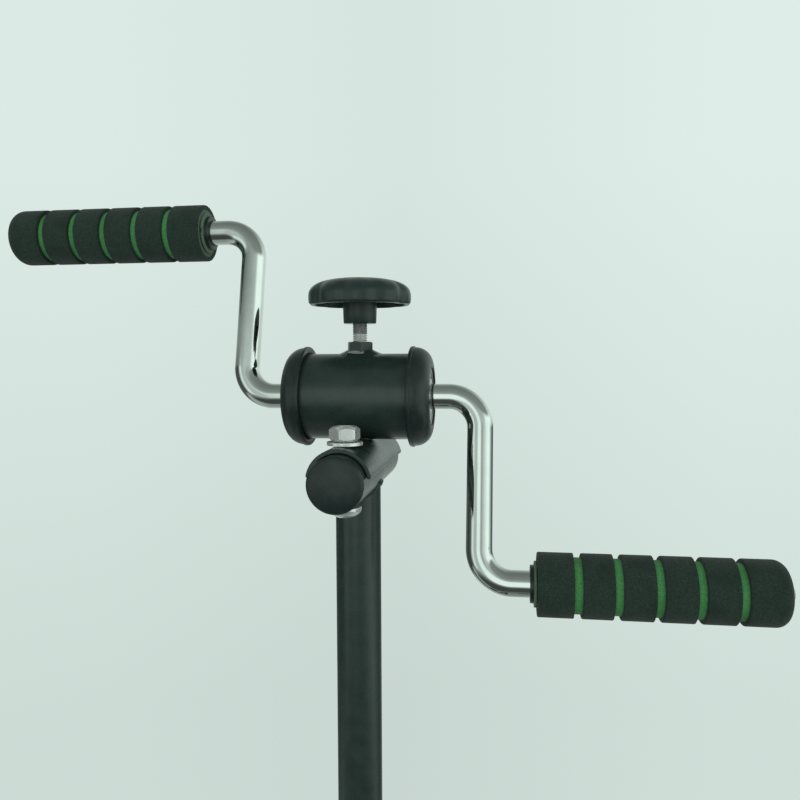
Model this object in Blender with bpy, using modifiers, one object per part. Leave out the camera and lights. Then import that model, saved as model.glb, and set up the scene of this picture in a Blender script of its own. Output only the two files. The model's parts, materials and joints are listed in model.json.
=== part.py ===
"""Arm and leg exerciser: a floor frame, a pedal crank and a hand crank on a height-adjustable post.

The hand crank and the pedal crank turn in like hubs. Each hub is a steel tube with two domed end caps,
a ball bearing in each cap, and a brake shoe that a knob on top presses on the crank's drum.

Frame: X runs along the crank axles, +Y runs away from the user, +Z is up.
The origin is on the floor, under the middle of the base.
"""
import math

import bmesh
import bpy
from mathutils import Vector

MM = 0.001

# Clearances
SEAT_GAP = 0.3 * MM
RUNNING_GAP = 0.2 * MM

# Facets of round pieces
FINE_SIDES = 20
ROUND_SIDES = 16
SMALL_SIDES = 12
BEND_STEPS = 4
DOME_STEPS = 3
SADDLE_STEPS = 12
ROUNDED_ANGLE = math.radians(40)
SHARP_ANGLE = math.radians(35)
SHOE_STEPS = 6
STRAP_STEPS = 10

# Whole machine
ARM_AXLE_HEIGHT = 900 * MM
LEG_AXLE_HEIGHT = 240 * MM
POST_Y = 90 * MM
LEG_AXLE_TO_POST = 100 * MM
ARM_AXLE_BEHIND_POST = 8 * MM

# Base
BASE_LENGTH = 420 * MM
FOOT_TUBE_DIA = 32 * MM
FOOT_TUBE_WALL = 1.6 * MM
FOOT_TUBE_LENGTH = 392 * MM
FOOT_TUBE_HEIGHT = 21 * MM
FOOT_CAP_DIA = 38 * MM
FOOT_CAP_LENGTH = 34 * MM
FOOT_CAP_END = 4 * MM
FOOT_PAD_WIDTH = 34 * MM
FOOT_CAP_ROUND = 1.5 * MM
FOOT_CAP_STEPS = 10
FOOT_CAP_FLARE = math.radians(20)
BEAM_DIA = 32 * MM
BEAM_WALL = 1.6 * MM

# Lower post, the tube that the upper post slides in
LOWER_POST_DIA = 32 * MM
LOWER_POST_WALL = 1.8 * MM
LOWER_POST_TOP = 500 * MM
BUSHING_LENGTH = 45 * MM
BUSHING_COLLAR_DIA = 37 * MM
BUSHING_COLLAR_HEIGHT = 5 * MM
BUSHING_CHAMFER = 1 * MM

# Upper post and the short tube across its top
UPPER_POST_DIA = 24.6 * MM
UPPER_POST_WALL = 1.5 * MM
UPPER_POST_IN_LOWER = 170 * MM
HEAD_TUBE_DIA = 28 * MM
HEAD_TUBE_WALL = 1.6 * MM
HEAD_TUBE_DROP = 39 * MM
HEAD_TUBE_FRONT = 63 * MM
HEAD_TUBE_REAR = 46 * MM
TUBE_PLUG_FLANGE = 2.4 * MM
TUBE_PLUG_DEPTH = 12 * MM
TUBE_PLUG_CROWN = 1.6 * MM

# Saddle plate that carries the hub on the head tube
SADDLE_THICKNESS = 2.2 * MM
SADDLE_FRONT = 57 * MM
SADDLE_REAR = 45 * MM
SADDLE_WRAP = math.radians(156)

# Bolt through saddle and head tube
BOLT_DIA = 8 * MM
BOLT_Y = 41 * MM
BOLT_HEAD_DIA = 16.5 * MM
BOLT_HEAD_HEIGHT = 5.8 * MM
BOLT_HEAD_EDGE = 0.8 * MM
BOLT_END_SUNK = 1 * MM
NUT_ACROSS_FLATS = 14 * MM
LOCK_NUT_HEIGHT = 7.4 * MM
WASHER_DIA = 18 * MM
WASHER_THICKNESS = 1.6 * MM

# Hub
HUB_TUBE_DIA = 47 * MM
HUB_TUBE_WALL = 2 * MM
HUB_TUBE_LENGTH = 67 * MM
CAP_LIP_DIA = 55 * MM
CAP_LIP_WIDTH = 2.6 * MM
CAP_LIP_STEP = 0.6 * MM
CAP_LIP_EDGE = 1.2 * MM
CAP_INNER_EDGE = 28.3 * MM
CAP_OUTER_FACE = 40 * MM
CAP_FACE_DIA = 36 * MM
CAP_SPIGOT_DEPTH = 4 * MM
CAP_SHOULDER_DIA = 25 * MM
BEARING_DIA = 32 * MM
BEARING_WIDTH = 10 * MM
BEARING_RECESS = 0.8 * MM
BEARING_RING = 2.4 * MM
BEARING_SHIELD_DEPTH = 0.7 * MM
DRUM_DIA = 28 * MM

# Brake screw on top of the hub
STUD_DIA = 8 * MM
STUD_CHAMFER = 0.8 * MM
THREAD_PITCH = 1.25 * MM
BRAKE_SCREW_TURNS = 2
STUD_IN_KNOB = 9 * MM
STUD_IN_SHOE = 2 * MM
WELD_NUT_TOP = 30 * MM
WELD_NUT_ACROSS_FLATS = 13 * MM
WELD_BEAD_DIA = 24 * MM
WELD_BEAD_HEIGHT = 2.6 * MM
WELD_BEAD_EDGE = 1 * MM
SHOE_LENGTH = 26 * MM
SHOE_WIDTH = 16 * MM
SHOE_SPARE_TRAVEL = 0.1 * MM

# Hand knobs
KNOB_BOSS_DIA = 18.5 * MM
KNOB_BOSS_DROP = 10 * MM
KNOB_LOBES = 10
KNOB_POINTS_PER_LOBE = 3
KNOB_LOBE_DEPTH = 1.2 * MM
KNOB_LOBE_FADE = 4
KNOB_REST_TURN = math.radians(15)
KNOB_DOME_STEPS = 3
KNOB_DOME_END = math.radians(72)
KNOB_SQUARENESS = 2.8
KNOB_EDGE_RISE = 3.5 * MM
KNOB_EDGE_ROUND = 1.5 * MM
KNOB_RIM_WIDTH = 3.2 * MM
TENSION_KNOB_DIA = 57 * MM
TENSION_KNOB_HEIGHT = 14.5 * MM
TENSION_KNOB_BASE = 50 * MM
CLAMP_KNOB_DIA = 46 * MM
CLAMP_KNOB_HEIGHT = 13 * MM

# Height clamp on the lower post
CLAMP_BELOW_TOP = 75 * MM
CLAMP_PAD_THICKNESS = 3 * MM
CLAMP_NUT_REACH = 23 * MM
CLAMP_BOSS_START = 27 * MM

# Cranks, bent from one round bar each
ROD_DIA = 14 * MM
ROD_BEND_RADIUS = 17 * MM
ROD_START = 0.5 * MM
CRANK_ARM_X = 66 * MM
ARM_CRANK_RADIUS = 97.5 * MM
ARM_CRANK_TILT = math.radians(12.5)
LEG_CRANK_RADIUS = 100 * MM
LEG_CRANK_TILT = math.radians(35)

# Hand grips
GRIP_START = 95.7 * MM
GRIP_FOAM_DIA = 33.2 * MM
GRIP_SLEEVE_DIA = 18 * MM
GRIP_FLANGE_DIA = 24 * MM
GRIP_FLANGE_WIDTH = 1.2 * MM
GRIP_RING_DIA = 19.4 * MM
GRIP_RING_WIDTH = 2 * MM
GRIP_FIRST_BAND = 18 * MM
GRIP_BAND = 15.4 * MM
GRIP_LAST_BAND = 21 * MM
GRIP_BANDS_BETWEEN = 4
GRIP_GROOVE_WIDTH = 4 * MM
GRIP_GROOVE_DEPTH = 2.2 * MM
GRIP_END_ROUND = 6.5 * MM
GRIP_EDGE_ROUND = 0.7 * MM
RETAINER_RECESS = 2 * MM
RETAINER_WASHER_DIA = 16.6 * MM
RETAINER_WASHER_THICKNESS = 1.2 * MM
RETAINER_HEAD_DIA = 9 * MM
RETAINER_HEAD_HEIGHT = 4.5 * MM
RETAINER_HEAD_ROUND = 1.6 * MM

# Pedals
PEDAL_GAP = 1 * MM
PEDAL_WIDTH = 92 * MM
PEDAL_LENGTH = 84 * MM
PEDAL_TOP = 10 * MM
PEDAL_BOTTOM = 18 * MM
PEDAL_FLOOR = 6 * MM
PEDAL_RIM = 6 * MM
PEDAL_BARREL_WIDTH = 24 * MM
PEDAL_CORNER = 9 * MM
PEDAL_CORNER_STEPS = 2
STRAP_WIDTH = 30 * MM
STRAP_THICKNESS = 1.6 * MM
STRAP_HEIGHT = 50 * MM
PEDAL_ROD_OVERRUN = 2 * MM

# Worked out from the sizes above
ARM_AXLE = Vector((0, POST_Y + ARM_AXLE_BEHIND_POST, ARM_AXLE_HEIGHT))
LEG_AXLE = Vector((0, POST_Y - LEG_AXLE_TO_POST, LEG_AXLE_HEIGHT))
UPPER_POST_BOTTOM = LOWER_POST_TOP - UPPER_POST_IN_LOWER
CLAMP_HEIGHT = LOWER_POST_TOP - CLAMP_BELOW_TOP
HEAD_TUBE_HEIGHT = ARM_AXLE_HEIGHT - HEAD_TUBE_DROP
FOOT_TUBE_Y = BASE_LENGTH / 2 - FOOT_CAP_DIA / 2
HUB_RADIUS = HUB_TUBE_DIA / 2
HUB_INNER_RADIUS = HUB_RADIUS - HUB_TUBE_WALL
SADDLE_INNER_RADIUS = HEAD_TUBE_DIA / 2 + SEAT_GAP
SADDLE_OUTER_RADIUS = SADDLE_INNER_RADIUS + SADDLE_THICKNESS
CAP_SPIGOT_END = CAP_INNER_EDGE - CAP_SPIGOT_DEPTH
DRUM_RADIUS = DRUM_DIA / 2
DRUM_LENGTH = 2 * (CAP_SPIGOT_END - SEAT_GAP)
SHOE_FACE_RADIUS = DRUM_RADIUS + SEAT_GAP
SHOE_BACK_RADIUS = HUB_INNER_RADIUS - SEAT_GAP
SHOE_TRAVEL = BRAKE_SCREW_TURNS * THREAD_PITCH + SHOE_SPARE_TRAVEL
SHOE_TOP = SHOE_BACK_RADIUS - SHOE_TRAVEL
GRIP_LENGTH = (GRIP_FIRST_BAND + GRIP_LAST_BAND + GRIP_BANDS_BETWEEN * GRIP_BAND
               + (GRIP_BANDS_BETWEEN + 1) * GRIP_GROOVE_WIDTH)
GRIP_END = GRIP_START + GRIP_LENGTH
ARM_ROD_END = GRIP_END - RETAINER_RECESS - SEAT_GAP
PEDAL_START = CRANK_ARM_X + ROD_BEND_RADIUS + PEDAL_GAP
PEDAL_END = PEDAL_START + PEDAL_WIDTH
LEG_ROD_END = PEDAL_END + PEDAL_ROD_OVERRUN

# Turns that point a turned piece's local Z along a machine axis
ALONG = {
    "+X": (0, math.pi / 2, 0),
    "-X": (0, -math.pi / 2, 0),
    "+Y": (-math.pi / 2, 0, 0),
    "-Y": (math.pi / 2, 0, 0),
    "+Z": (0, 0, 0),
}


def clear_scene():
    for obj in list(bpy.data.objects):
        bpy.data.objects.remove(obj, do_unlink=True)


def new_collection(name):
    collection = bpy.data.collections.new(name)
    bpy.context.scene.collection.children.link(collection)
    return collection


def new_material(name, colour, roughness, metallic):
    material = bpy.data.materials.new(name)
    material.use_nodes = True
    shader = material.node_tree.nodes["Principled BSDF"]
    shader.inputs["Base Color"].default_value = (*colour, 1)
    shader.inputs["Roughness"].default_value = roughness
    shader.inputs["Metallic"].default_value = metallic
    return material


clear_scene()
PARTS = new_collection("arm_and_leg_exerciser")
CUTTERS = new_collection("cutters")

SATIN_BLACK = ("satin_black_paint", (0.020, 0.024, 0.022), 0.38, 0.0)
BLACK_PLASTIC = ("black_plastic", (0.018, 0.021, 0.020), 0.45, 0.0)
GLOSSY_PLASTIC = ("glossy_black_plastic", (0.012, 0.014, 0.013), 0.22, 0.0)
CHROME = ("chrome", (0.80, 0.82, 0.81), 0.08, 1.0)
ZINC = ("zinc_plate", (0.62, 0.65, 0.64), 0.30, 1.0)
BEARING_STEEL = ("bearing_steel", (0.55, 0.56, 0.56), 0.22, 1.0)
FOAM = ("foam", (0.030, 0.034, 0.031), 0.95, 0.0)
RUBBER = ("rubber", (0.020, 0.020, 0.020), 0.80, 0.0)
FELT = ("brake_felt", (0.22, 0.17, 0.12), 0.95, 0.0)


def place(obj, where, along="+Z", parent=None):
    obj.location = where
    obj.rotation_euler = ALONG[along]
    obj.parent = parent
    return obj


def as_part(obj, finish):
    """Put a piece in the parts collection with a material of its own."""
    PARTS.objects.link(obj)
    obj.data.materials.append(new_material(obj.name + "_" + finish[0], *finish[1:]))
    return obj


def as_cutter(obj):
    CUTTERS.objects.link(obj)
    obj.hide_render = True
    obj.display_type = "WIRE"
    return obj


def joint_axis(name, where, turn=(0, 0, 0), parent=None):
    """An empty on a joint's axis, which the moving pieces hang from."""
    empty = bpy.data.objects.new(name, None)
    empty.empty_display_size = 20 * MM
    PARTS.objects.link(empty)
    empty.location = where
    empty.rotation_euler = turn
    empty.parent = parent
    return empty


def turned(name, profile, sides):
    """A solid of revolution about local Z from (radius, height) points, outer side first, top to bottom."""
    mesh = bpy.data.meshes.new(name)
    points = [(radius, 0, height) for radius, height in profile]
    edges = [(i, i + 1) for i in range(len(points) - 1)]
    closed_ring = min(radius for radius, height in profile) > 0
    if closed_ring:
        edges.append((len(points) - 1, 0))
    mesh.from_pydata(points, edges, [])
    obj = bpy.data.objects.new(name, mesh)
    screw = obj.modifiers.new("turn", "SCREW")
    screw.steps = sides
    screw.render_steps = sides
    screw.use_merge_vertices = True
    screw.merge_threshold = 0.00001
    screw.use_smooth_shade = False
    return obj


def arc(centre_r, centre_h, radius, start, end, steps):
    """Points (radius, height) of an arc in a turned piece's profile, angles in degrees."""
    points = []
    for i in range(steps + 1):
        angle = math.radians(start + (end - start) * i / steps)
        points.append((centre_r + radius * math.cos(angle), centre_h + radius * math.sin(angle)))
    return points


def rod_cutter(name, radius, length, where, along, sides=ROUND_SIDES, parent=None):
    """A plain cylinder, centred on where, that cuts round holes and coped ends."""
    mesh = bpy.data.meshes.new(name)
    bm = bmesh.new()
    bmesh.ops.create_cone(bm, cap_ends=True, segments=sides, radius1=radius, radius2=radius, depth=length)
    bm.to_mesh(mesh)
    bm.free()
    obj = as_cutter(bpy.data.objects.new(name, mesh))
    return place(obj, where, along, parent)


def box_mesh(name, size, centre=(0, 0, 0)):
    mesh = bpy.data.meshes.new(name)
    bm = bmesh.new()
    bmesh.ops.create_cube(bm, size=1)
    bmesh.ops.scale(bm, vec=size, verts=bm.verts)
    bmesh.ops.translate(bm, vec=centre, verts=bm.verts)
    bm.to_mesh(mesh)
    bm.free()
    return bpy.data.objects.new(name, mesh)


def combine(obj, other, operation):
    """Join or cut a piece with another shape by an exact Boolean."""
    boolean = obj.modifiers.new(operation.lower(), "BOOLEAN")
    boolean.operation = operation
    boolean.solver = "EXACT"
    boolean.object = other
    return obj


def cut(obj, *cutters):
    for cutter in cutters:
        combine(obj, cutter, "DIFFERENCE")
    return obj


def round_edges(obj, width, segments=1):
    bevel = obj.modifiers.new("rounding", "BEVEL")
    bevel.width = width
    bevel.segments = segments
    bevel.limit_method = "ANGLE"
    bevel.angle_limit = ROUNDED_ANGLE
    return obj


def extruded(name, outline, thickness):
    """A flat outline in local XY, filled and extruded by thickness about its own plane."""
    curve = bpy.data.curves.new(name, "CURVE")
    curve.dimensions = "2D"
    curve.fill_mode = "BOTH"
    curve.extrude = thickness / 2
    spline = curve.splines.new("POLY")
    spline.points.add(len(outline) - 1)
    for point, (x, y) in zip(spline.points, outline):
        point.co = (x, y, 0, 1)
    spline.use_cyclic_u = True
    return as_mesh(bpy.data.objects.new(name, curve))


def bar(name, points, diameter, sides):
    """A round bar along a route, with closed ends."""
    curve = bpy.data.curves.new(name, "CURVE")
    curve.dimensions = "3D"
    curve.bevel_depth = diameter / 2
    curve.bevel_resolution = (sides - 4) // 2
    curve.use_fill_caps = True
    spline = curve.splines.new("POLY")
    spline.points.add(len(points) - 1)
    for point, co in zip(spline.points, points):
        point.co = (*co, 1)
    return as_mesh(bpy.data.objects.new(name, curve))


def as_mesh(curve_object):
    """The mesh of a curve object, its loose caps welded on, under the curve's own name."""
    name = curve_object.name
    bpy.context.scene.collection.objects.link(curve_object)
    graph = bpy.context.evaluated_depsgraph_get()
    mesh = bpy.data.meshes.new_from_object(curve_object.evaluated_get(graph))
    bpy.data.objects.remove(curve_object, do_unlink=True)
    bm = bmesh.new()
    bm.from_mesh(mesh)
    bmesh.ops.remove_doubles(bm, verts=bm.verts, dist=0.00001)
    bmesh.ops.recalc_face_normals(bm, faces=bm.faces)
    bm.to_mesh(mesh)
    bm.free()
    mesh.name = name
    mesh.materials.clear()
    return bpy.data.objects.new(name, mesh)


def tube_profile(outer_radius, inner_radius, bottom, top):
    return [(outer_radius, top), (outer_radius, bottom), (inner_radius, bottom), (inner_radius, top)]


def tube(name, diameter, wall, bottom, top, finish, sides=ROUND_SIDES):
    """A round tube on local Z between two heights."""
    return as_part(turned(name, tube_profile(diameter / 2, diameter / 2 - wall, bottom, top), sides), finish)


def hex_nut(name, across_flats, bottom, top, where, along="+Z"):
    """A hexagon nut with chamfered top corners and a plain bore, along local Z."""
    corner = across_flats / math.sqrt(3)
    chamfer = corner - across_flats / 2
    profile = [(0, top), (across_flats / 2, top), (corner, top - chamfer), (corner, bottom), (0, bottom)]
    nut = place(turned(name, profile, 6), where, along)
    bore = rod_cutter(name + "_bore", STUD_DIA / 2 + SEAT_GAP,
                      2 * (abs(top) + across_flats), where, along, SMALL_SIDES)
    return nut, bore


def end_plug(name, diameter, wall, finish):
    """A domed plug for a tube's end. Local Z points out of the tube, and its flange sits at height 0."""
    radius = diameter / 2
    spigot = radius - wall - SEAT_GAP
    edge = TUBE_PLUG_FLANGE / 2
    shoulder = radius - edge
    profile = [(0, TUBE_PLUG_FLANGE + TUBE_PLUG_CROWN)]
    profile += [(shoulder / 2, TUBE_PLUG_FLANGE + TUBE_PLUG_CROWN * 3 / 4), (shoulder, TUBE_PLUG_FLANGE)]
    profile += [(radius, TUBE_PLUG_FLANGE - edge), (radius, SEAT_GAP), (spigot, SEAT_GAP)]
    profile += [(spigot, -TUBE_PLUG_DEPTH), (0, -TUBE_PLUG_DEPTH)]
    return as_part(turned(name, profile, ROUND_SIDES), finish)


def foot_outline():
    """The end cap's section: round on top, spreading to a flat pad on the floor."""
    radius = FOOT_CAP_DIA / 2
    points = [(-FOOT_PAD_WIDTH / 2, 0), (FOOT_PAD_WIDTH / 2, 0)]
    for i in range(FOOT_CAP_STEPS + 1):
        angle = (math.pi + 2 * FOOT_CAP_FLARE) * i / FOOT_CAP_STEPS - FOOT_CAP_FLARE
        points.append((radius * math.cos(angle), FOOT_TUBE_HEIGHT + radius * math.sin(angle)))
    return points


def foot_cap(name, side, y):
    """A plastic end cap that a foot tube pushes into, with a flat pad on the floor."""
    cap = extruded(name, foot_outline(), FOOT_CAP_LENGTH)
    middle = FOOT_TUBE_LENGTH / 2 + FOOT_CAP_END - FOOT_CAP_LENGTH / 2
    cap.location = (side * middle, y, 0)
    cap.rotation_euler = (math.pi / 2, 0, math.pi / 2)
    as_part(cap, RUBBER)
    round_edges(cap, FOOT_CAP_ROUND)
    socket_depth = 2 * (FOOT_CAP_LENGTH - FOOT_CAP_END + SEAT_GAP)
    socket_end = side * (FOOT_TUBE_LENGTH / 2 - FOOT_CAP_LENGTH + FOOT_CAP_END)
    socket = rod_cutter(name + "_socket", FOOT_TUBE_DIA / 2 + SEAT_GAP, socket_depth,
                        (socket_end, y, FOOT_TUBE_HEIGHT), "+X")
    return cut(cap, socket)


def base():
    """Two cross tubes on four end caps, and the beam between them that carries the post."""
    for row, y in (("front", -FOOT_TUBE_Y), ("rear", FOOT_TUBE_Y)):
        half = FOOT_TUBE_LENGTH / 2
        foot = tube(row + "_foot_tube", FOOT_TUBE_DIA, FOOT_TUBE_WALL, -half, half, SATIN_BLACK)
        place(foot, (0, y, FOOT_TUBE_HEIGHT), "+X")
        for side_name, side in (("left", -1), ("right", 1)):
            foot_cap(row + "_" + side_name + "_foot_cap", side, y)
    beam = tube("base_beam", BEAM_DIA, BEAM_WALL, -FOOT_TUBE_Y, FOOT_TUBE_Y, SATIN_BLACK)
    place(beam, (0, 0, FOOT_TUBE_HEIGHT), "+Y")
    for row, y in (("front", -FOOT_TUBE_Y), ("rear", FOOT_TUBE_Y)):
        cope = rod_cutter("beam_cope_" + row, FOOT_TUBE_DIA / 2 + SEAT_GAP, FOOT_TUBE_LENGTH,
                          (0, y, FOOT_TUBE_HEIGHT), "+X")
        cut(beam, cope)


def lower_post():
    """The fixed post tube, coped onto the beam, with the hole for the clamp pad."""
    post = tube("lower_post", LOWER_POST_DIA, LOWER_POST_WALL, FOOT_TUBE_HEIGHT, LOWER_POST_TOP, SATIN_BLACK)
    place(post, (0, POST_Y, 0))
    cope = rod_cutter("lower_post_cope", BEAM_DIA / 2 + SEAT_GAP, BASE_LENGTH,
                      (0, 0, FOOT_TUBE_HEIGHT), "+Y")
    clamp_hole = rod_cutter("clamp_hole", STUD_DIA / 2 + SEAT_GAP, LOWER_POST_DIA,
                            (0, POST_Y - LOWER_POST_DIA / 2, CLAMP_HEIGHT), "-Y", SMALL_SIDES)
    return cut(post, cope, clamp_hole)


def post_bushing():
    """The plastic sleeve that guides the upper post, with a collar on the lower post's end."""
    outer = LOWER_POST_DIA / 2 - LOWER_POST_WALL - SEAT_GAP
    inner = UPPER_POST_DIA / 2 + RUNNING_GAP
    collar = BUSHING_COLLAR_DIA / 2
    profile = [(inner, BUSHING_COLLAR_HEIGHT), (collar - BUSHING_CHAMFER, BUSHING_COLLAR_HEIGHT),
               (collar, BUSHING_COLLAR_HEIGHT - BUSHING_CHAMFER), (collar, SEAT_GAP), (outer, SEAT_GAP),
               (outer, -BUSHING_LENGTH), (inner, -BUSHING_LENGTH)]
    bushing = as_part(turned("post_bushing", profile, ROUND_SIDES), BLACK_PLASTIC)
    return place(bushing, (0, POST_Y, LOWER_POST_TOP))


def upper_post():
    """The sliding post tube, its top coped to the head tube."""
    post = tube("upper_post", UPPER_POST_DIA, UPPER_POST_WALL, UPPER_POST_BOTTOM, HEAD_TUBE_HEIGHT,
                SATIN_BLACK)
    place(post, (0, POST_Y, 0))
    cope = rod_cutter("upper_post_cope", HEAD_TUBE_DIA / 2 + SEAT_GAP, BASE_LENGTH,
                      (0, POST_Y, HEAD_TUBE_HEIGHT), "+Y")
    return cut(post, cope)


def head_tube(name, axle, front, rear, post_cope=None):
    """The short tube under a hub, along Y, from front to rear of the axle."""
    piece = tube(name, HEAD_TUBE_DIA, HEAD_TUBE_WALL, -front, rear, SATIN_BLACK)
    place(piece, axle - Vector((0, 0, HEAD_TUBE_DROP)), "+Y")
    cut(piece, hub_cope(name, axle), bolt_hole(name, axle))
    if post_cope:
        cut(piece, post_cope)
    return piece


def hub_cope(name, axle):
    """The round notch that a hub tube fits in."""
    return rod_cutter(name + "_hub_cope", HUB_RADIUS + SEAT_GAP, 4 * HEAD_TUBE_DIA, axle, "+X", FINE_SIDES)


def bolt_hole(name, axle):
    centre = axle - Vector((0, BOLT_Y, HEAD_TUBE_DROP))
    return rod_cutter(name + "_bolt_hole", BOLT_DIA / 2 + SEAT_GAP, 3 * HEAD_TUBE_DIA, centre, "+Z",
                      SMALL_SIDES)


def tube_plug(name, axle, offset, along, diameter=HEAD_TUBE_DIA, wall=HEAD_TUBE_WALL):
    plug = end_plug(name, diameter, wall, BLACK_PLASTIC)
    return place(plug, axle + Vector((0, offset, -HEAD_TUBE_DROP)), along)


def saddle_outline():
    """The saddle's section: a strip wrapped round the upper half of the head tube, open below."""
    points = []
    for i in range(SADDLE_STEPS + 1):
        angle = math.pi / 2 + SADDLE_WRAP * (i / SADDLE_STEPS - 0.5)
        points.append((SADDLE_OUTER_RADIUS * math.cos(angle), SADDLE_OUTER_RADIUS * math.sin(angle)))
    for i in range(SADDLE_STEPS + 1):
        angle = math.pi / 2 + SADDLE_WRAP * (0.5 - i / SADDLE_STEPS)
        points.append((SADDLE_INNER_RADIUS * math.cos(angle), SADDLE_INNER_RADIUS * math.sin(angle)))
    return points


def saddle(name, axle):
    """The bent plate that the hub is welded to, notched to take the hub tube."""
    plate = extruded(name, saddle_outline(), SADDLE_FRONT + SADDLE_REAR)
    plate.location = axle + Vector((0, (SADDLE_REAR - SADDLE_FRONT) / 2, -HEAD_TUBE_DROP))
    plate.rotation_euler = (math.pi / 2, 0, 0)
    as_part(plate, SATIN_BLACK)
    return cut(plate, hub_cope(name, axle), bolt_hole(name, axle))


def saddle_bolt(prefix, axle, washer):
    """Carriage bolt from below, with a lock nut on the saddle, over a washer where there is one."""
    low = -HEAD_TUBE_DROP - HEAD_TUBE_DIA / 2 - SEAT_GAP
    nut_seat = -HEAD_TUBE_DROP + SADDLE_OUTER_RADIUS
    radius = BOLT_DIA / 2
    head = BOLT_HEAD_DIA / 2
    where = axle - Vector((0, BOLT_Y, 0))
    if washer:
        washer_bottom = nut_seat + SEAT_GAP
        nut_seat = washer_bottom + WASHER_THICKNESS
        tube(prefix + "_saddle_washer", WASHER_DIA, WASHER_DIA / 2 - radius - SEAT_GAP,
             washer_bottom, nut_seat, ZINC).location = where
    nut_bottom = nut_seat + SEAT_GAP
    nut_top = nut_bottom + LOCK_NUT_HEIGHT
    nut, bore = hex_nut(prefix + "_saddle_nut", NUT_ACROSS_FLATS, nut_bottom, nut_top, where)
    cut(as_part(nut, ZINC), bore)
    bolt_top = nut_top - BOLT_END_SUNK
    edge = low - BOLT_HEAD_EDGE
    crown = BOLT_HEAD_HEIGHT - BOLT_HEAD_EDGE
    profile = [(0, bolt_top), (radius, bolt_top), (radius, low), (head, low)]
    for i in range(DOME_STEPS + 1):
        angle = math.pi / 2 * i / DOME_STEPS
        profile.append((head * math.cos(angle), edge - crown * math.sin(angle)))
    profile[-1] = (0, edge - crown)
    bolt = as_part(turned(prefix + "_saddle_bolt", profile, SMALL_SIDES), ZINC)
    place(bolt, where)


def hub_tube(prefix, axle):
    """The hub's steel tube, with the hole for the brake screw on top."""
    half = HUB_TUBE_LENGTH / 2
    housing = tube(prefix + "_hub_tube", HUB_TUBE_DIA, HUB_TUBE_WALL, -half, half, SATIN_BLACK, FINE_SIDES)
    place(housing, axle, "+X")
    hole = rod_cutter(prefix + "_stud_hole", STUD_DIA / 2 + SEAT_GAP, HUB_TUBE_DIA,
                      axle + Vector((0, 0, HUB_TUBE_DIA / 2)), "+Z", SMALL_SIDES)
    return cut(housing, hole)


def cap_profile():
    """The end cap's section: bearing bore, flat face, dome, stepped lip, tube groove and inner spigot."""
    face = CAP_FACE_DIA / 2
    lip = CAP_LIP_DIA / 2
    dome = lip - CAP_LIP_STEP
    dome_start = CAP_INNER_EDGE + CAP_LIP_WIDTH
    bearing_seat = CAP_OUTER_FACE - BEARING_RECESS - BEARING_WIDTH - SEAT_GAP
    groove_end = HUB_TUBE_LENGTH / 2 + SEAT_GAP
    bore = BEARING_DIA / 2 + SEAT_GAP
    spigot = HUB_INNER_RADIUS - SEAT_GAP
    groove = HUB_RADIUS + SEAT_GAP
    shoulder = CAP_SHOULDER_DIA / 2
    profile = [(bore, CAP_OUTER_FACE)]
    for i in range(DOME_STEPS + 1):
        angle = math.pi / 2 * (1 - i / DOME_STEPS)
        profile.append((face + (dome - face) * math.cos(angle),
                        dome_start + (CAP_OUTER_FACE - dome_start) * math.sin(angle)))
    profile += [(lip, dome_start - CAP_LIP_STEP), (lip, CAP_INNER_EDGE + CAP_LIP_EDGE)]
    profile += [(lip - CAP_LIP_EDGE, CAP_INNER_EDGE), (groove, CAP_INNER_EDGE)]
    profile += [(groove, groove_end), (spigot, groove_end), (spigot, CAP_SPIGOT_END)]
    profile += [(shoulder, CAP_SPIGOT_END), (shoulder, bearing_seat), (bore, bearing_seat)]
    return profile


def bearing_profile():
    """A shielded ball bearing: outer ring, sunk shield, inner ring."""
    outer = BEARING_DIA / 2
    bore = ROD_DIA / 2 + RUNNING_GAP
    top = CAP_OUTER_FACE - BEARING_RECESS
    bottom = top - BEARING_WIDTH
    shield = top - BEARING_SHIELD_DEPTH
    return [(bore, top), (bore + BEARING_RING, top), (bore + BEARING_RING, shield),
            (outer - BEARING_RING, shield), (outer - BEARING_RING, top), (outer, top),
            (outer, bottom), (bore, bottom)]


def brake_drum(prefix, axis):
    """The sleeve that joins the two crank bars and that the shoe rubs on."""
    half = DRUM_LENGTH / 2
    bore = ROD_DIA / 2 + SEAT_GAP
    drum = as_part(turned(prefix + "_brake_drum", tube_profile(DRUM_RADIUS, bore, -half, half), ROUND_SIDES),
                   BEARING_STEEL)
    return place(drum, (0, 0, 0), "+X", axis)


def shoe_outline():
    """The shoe's section: hollow face on the drum, back curved to clear the hub tube when raised."""
    half = SHOE_WIDTH / 2
    points = []
    for i in range(SHOE_STEPS + 1):
        x = -half + SHOE_WIDTH * i / SHOE_STEPS
        points.append((x, math.sqrt(SHOE_FACE_RADIUS ** 2 - x ** 2)))
    for i in range(SHOE_STEPS + 1):
        x = half - SHOE_WIDTH * i / SHOE_STEPS
        points.append((x, math.sqrt(SHOE_BACK_RADIUS ** 2 - x ** 2) - SHOE_TRAVEL))
    return points


def brake_shoe(prefix, slide):
    """The felt-faced block between brake screw and drum, with a pocket in its back for the screw's tip."""
    shoe = extruded(prefix + "_brake_shoe", shoe_outline(), SHOE_LENGTH)
    shoe.rotation_euler = (math.pi / 2, 0, math.pi / 2)
    shoe.parent = slide
    as_part(shoe, FELT)
    pocket = rod_cutter(prefix + "_shoe_pocket", STUD_DIA / 2 + SEAT_GAP, 2 * STUD_IN_SHOE,
                        (0, 0, SHOE_TOP), "+Z", SMALL_SIDES, slide)
    return cut(shoe, pocket)


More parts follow.
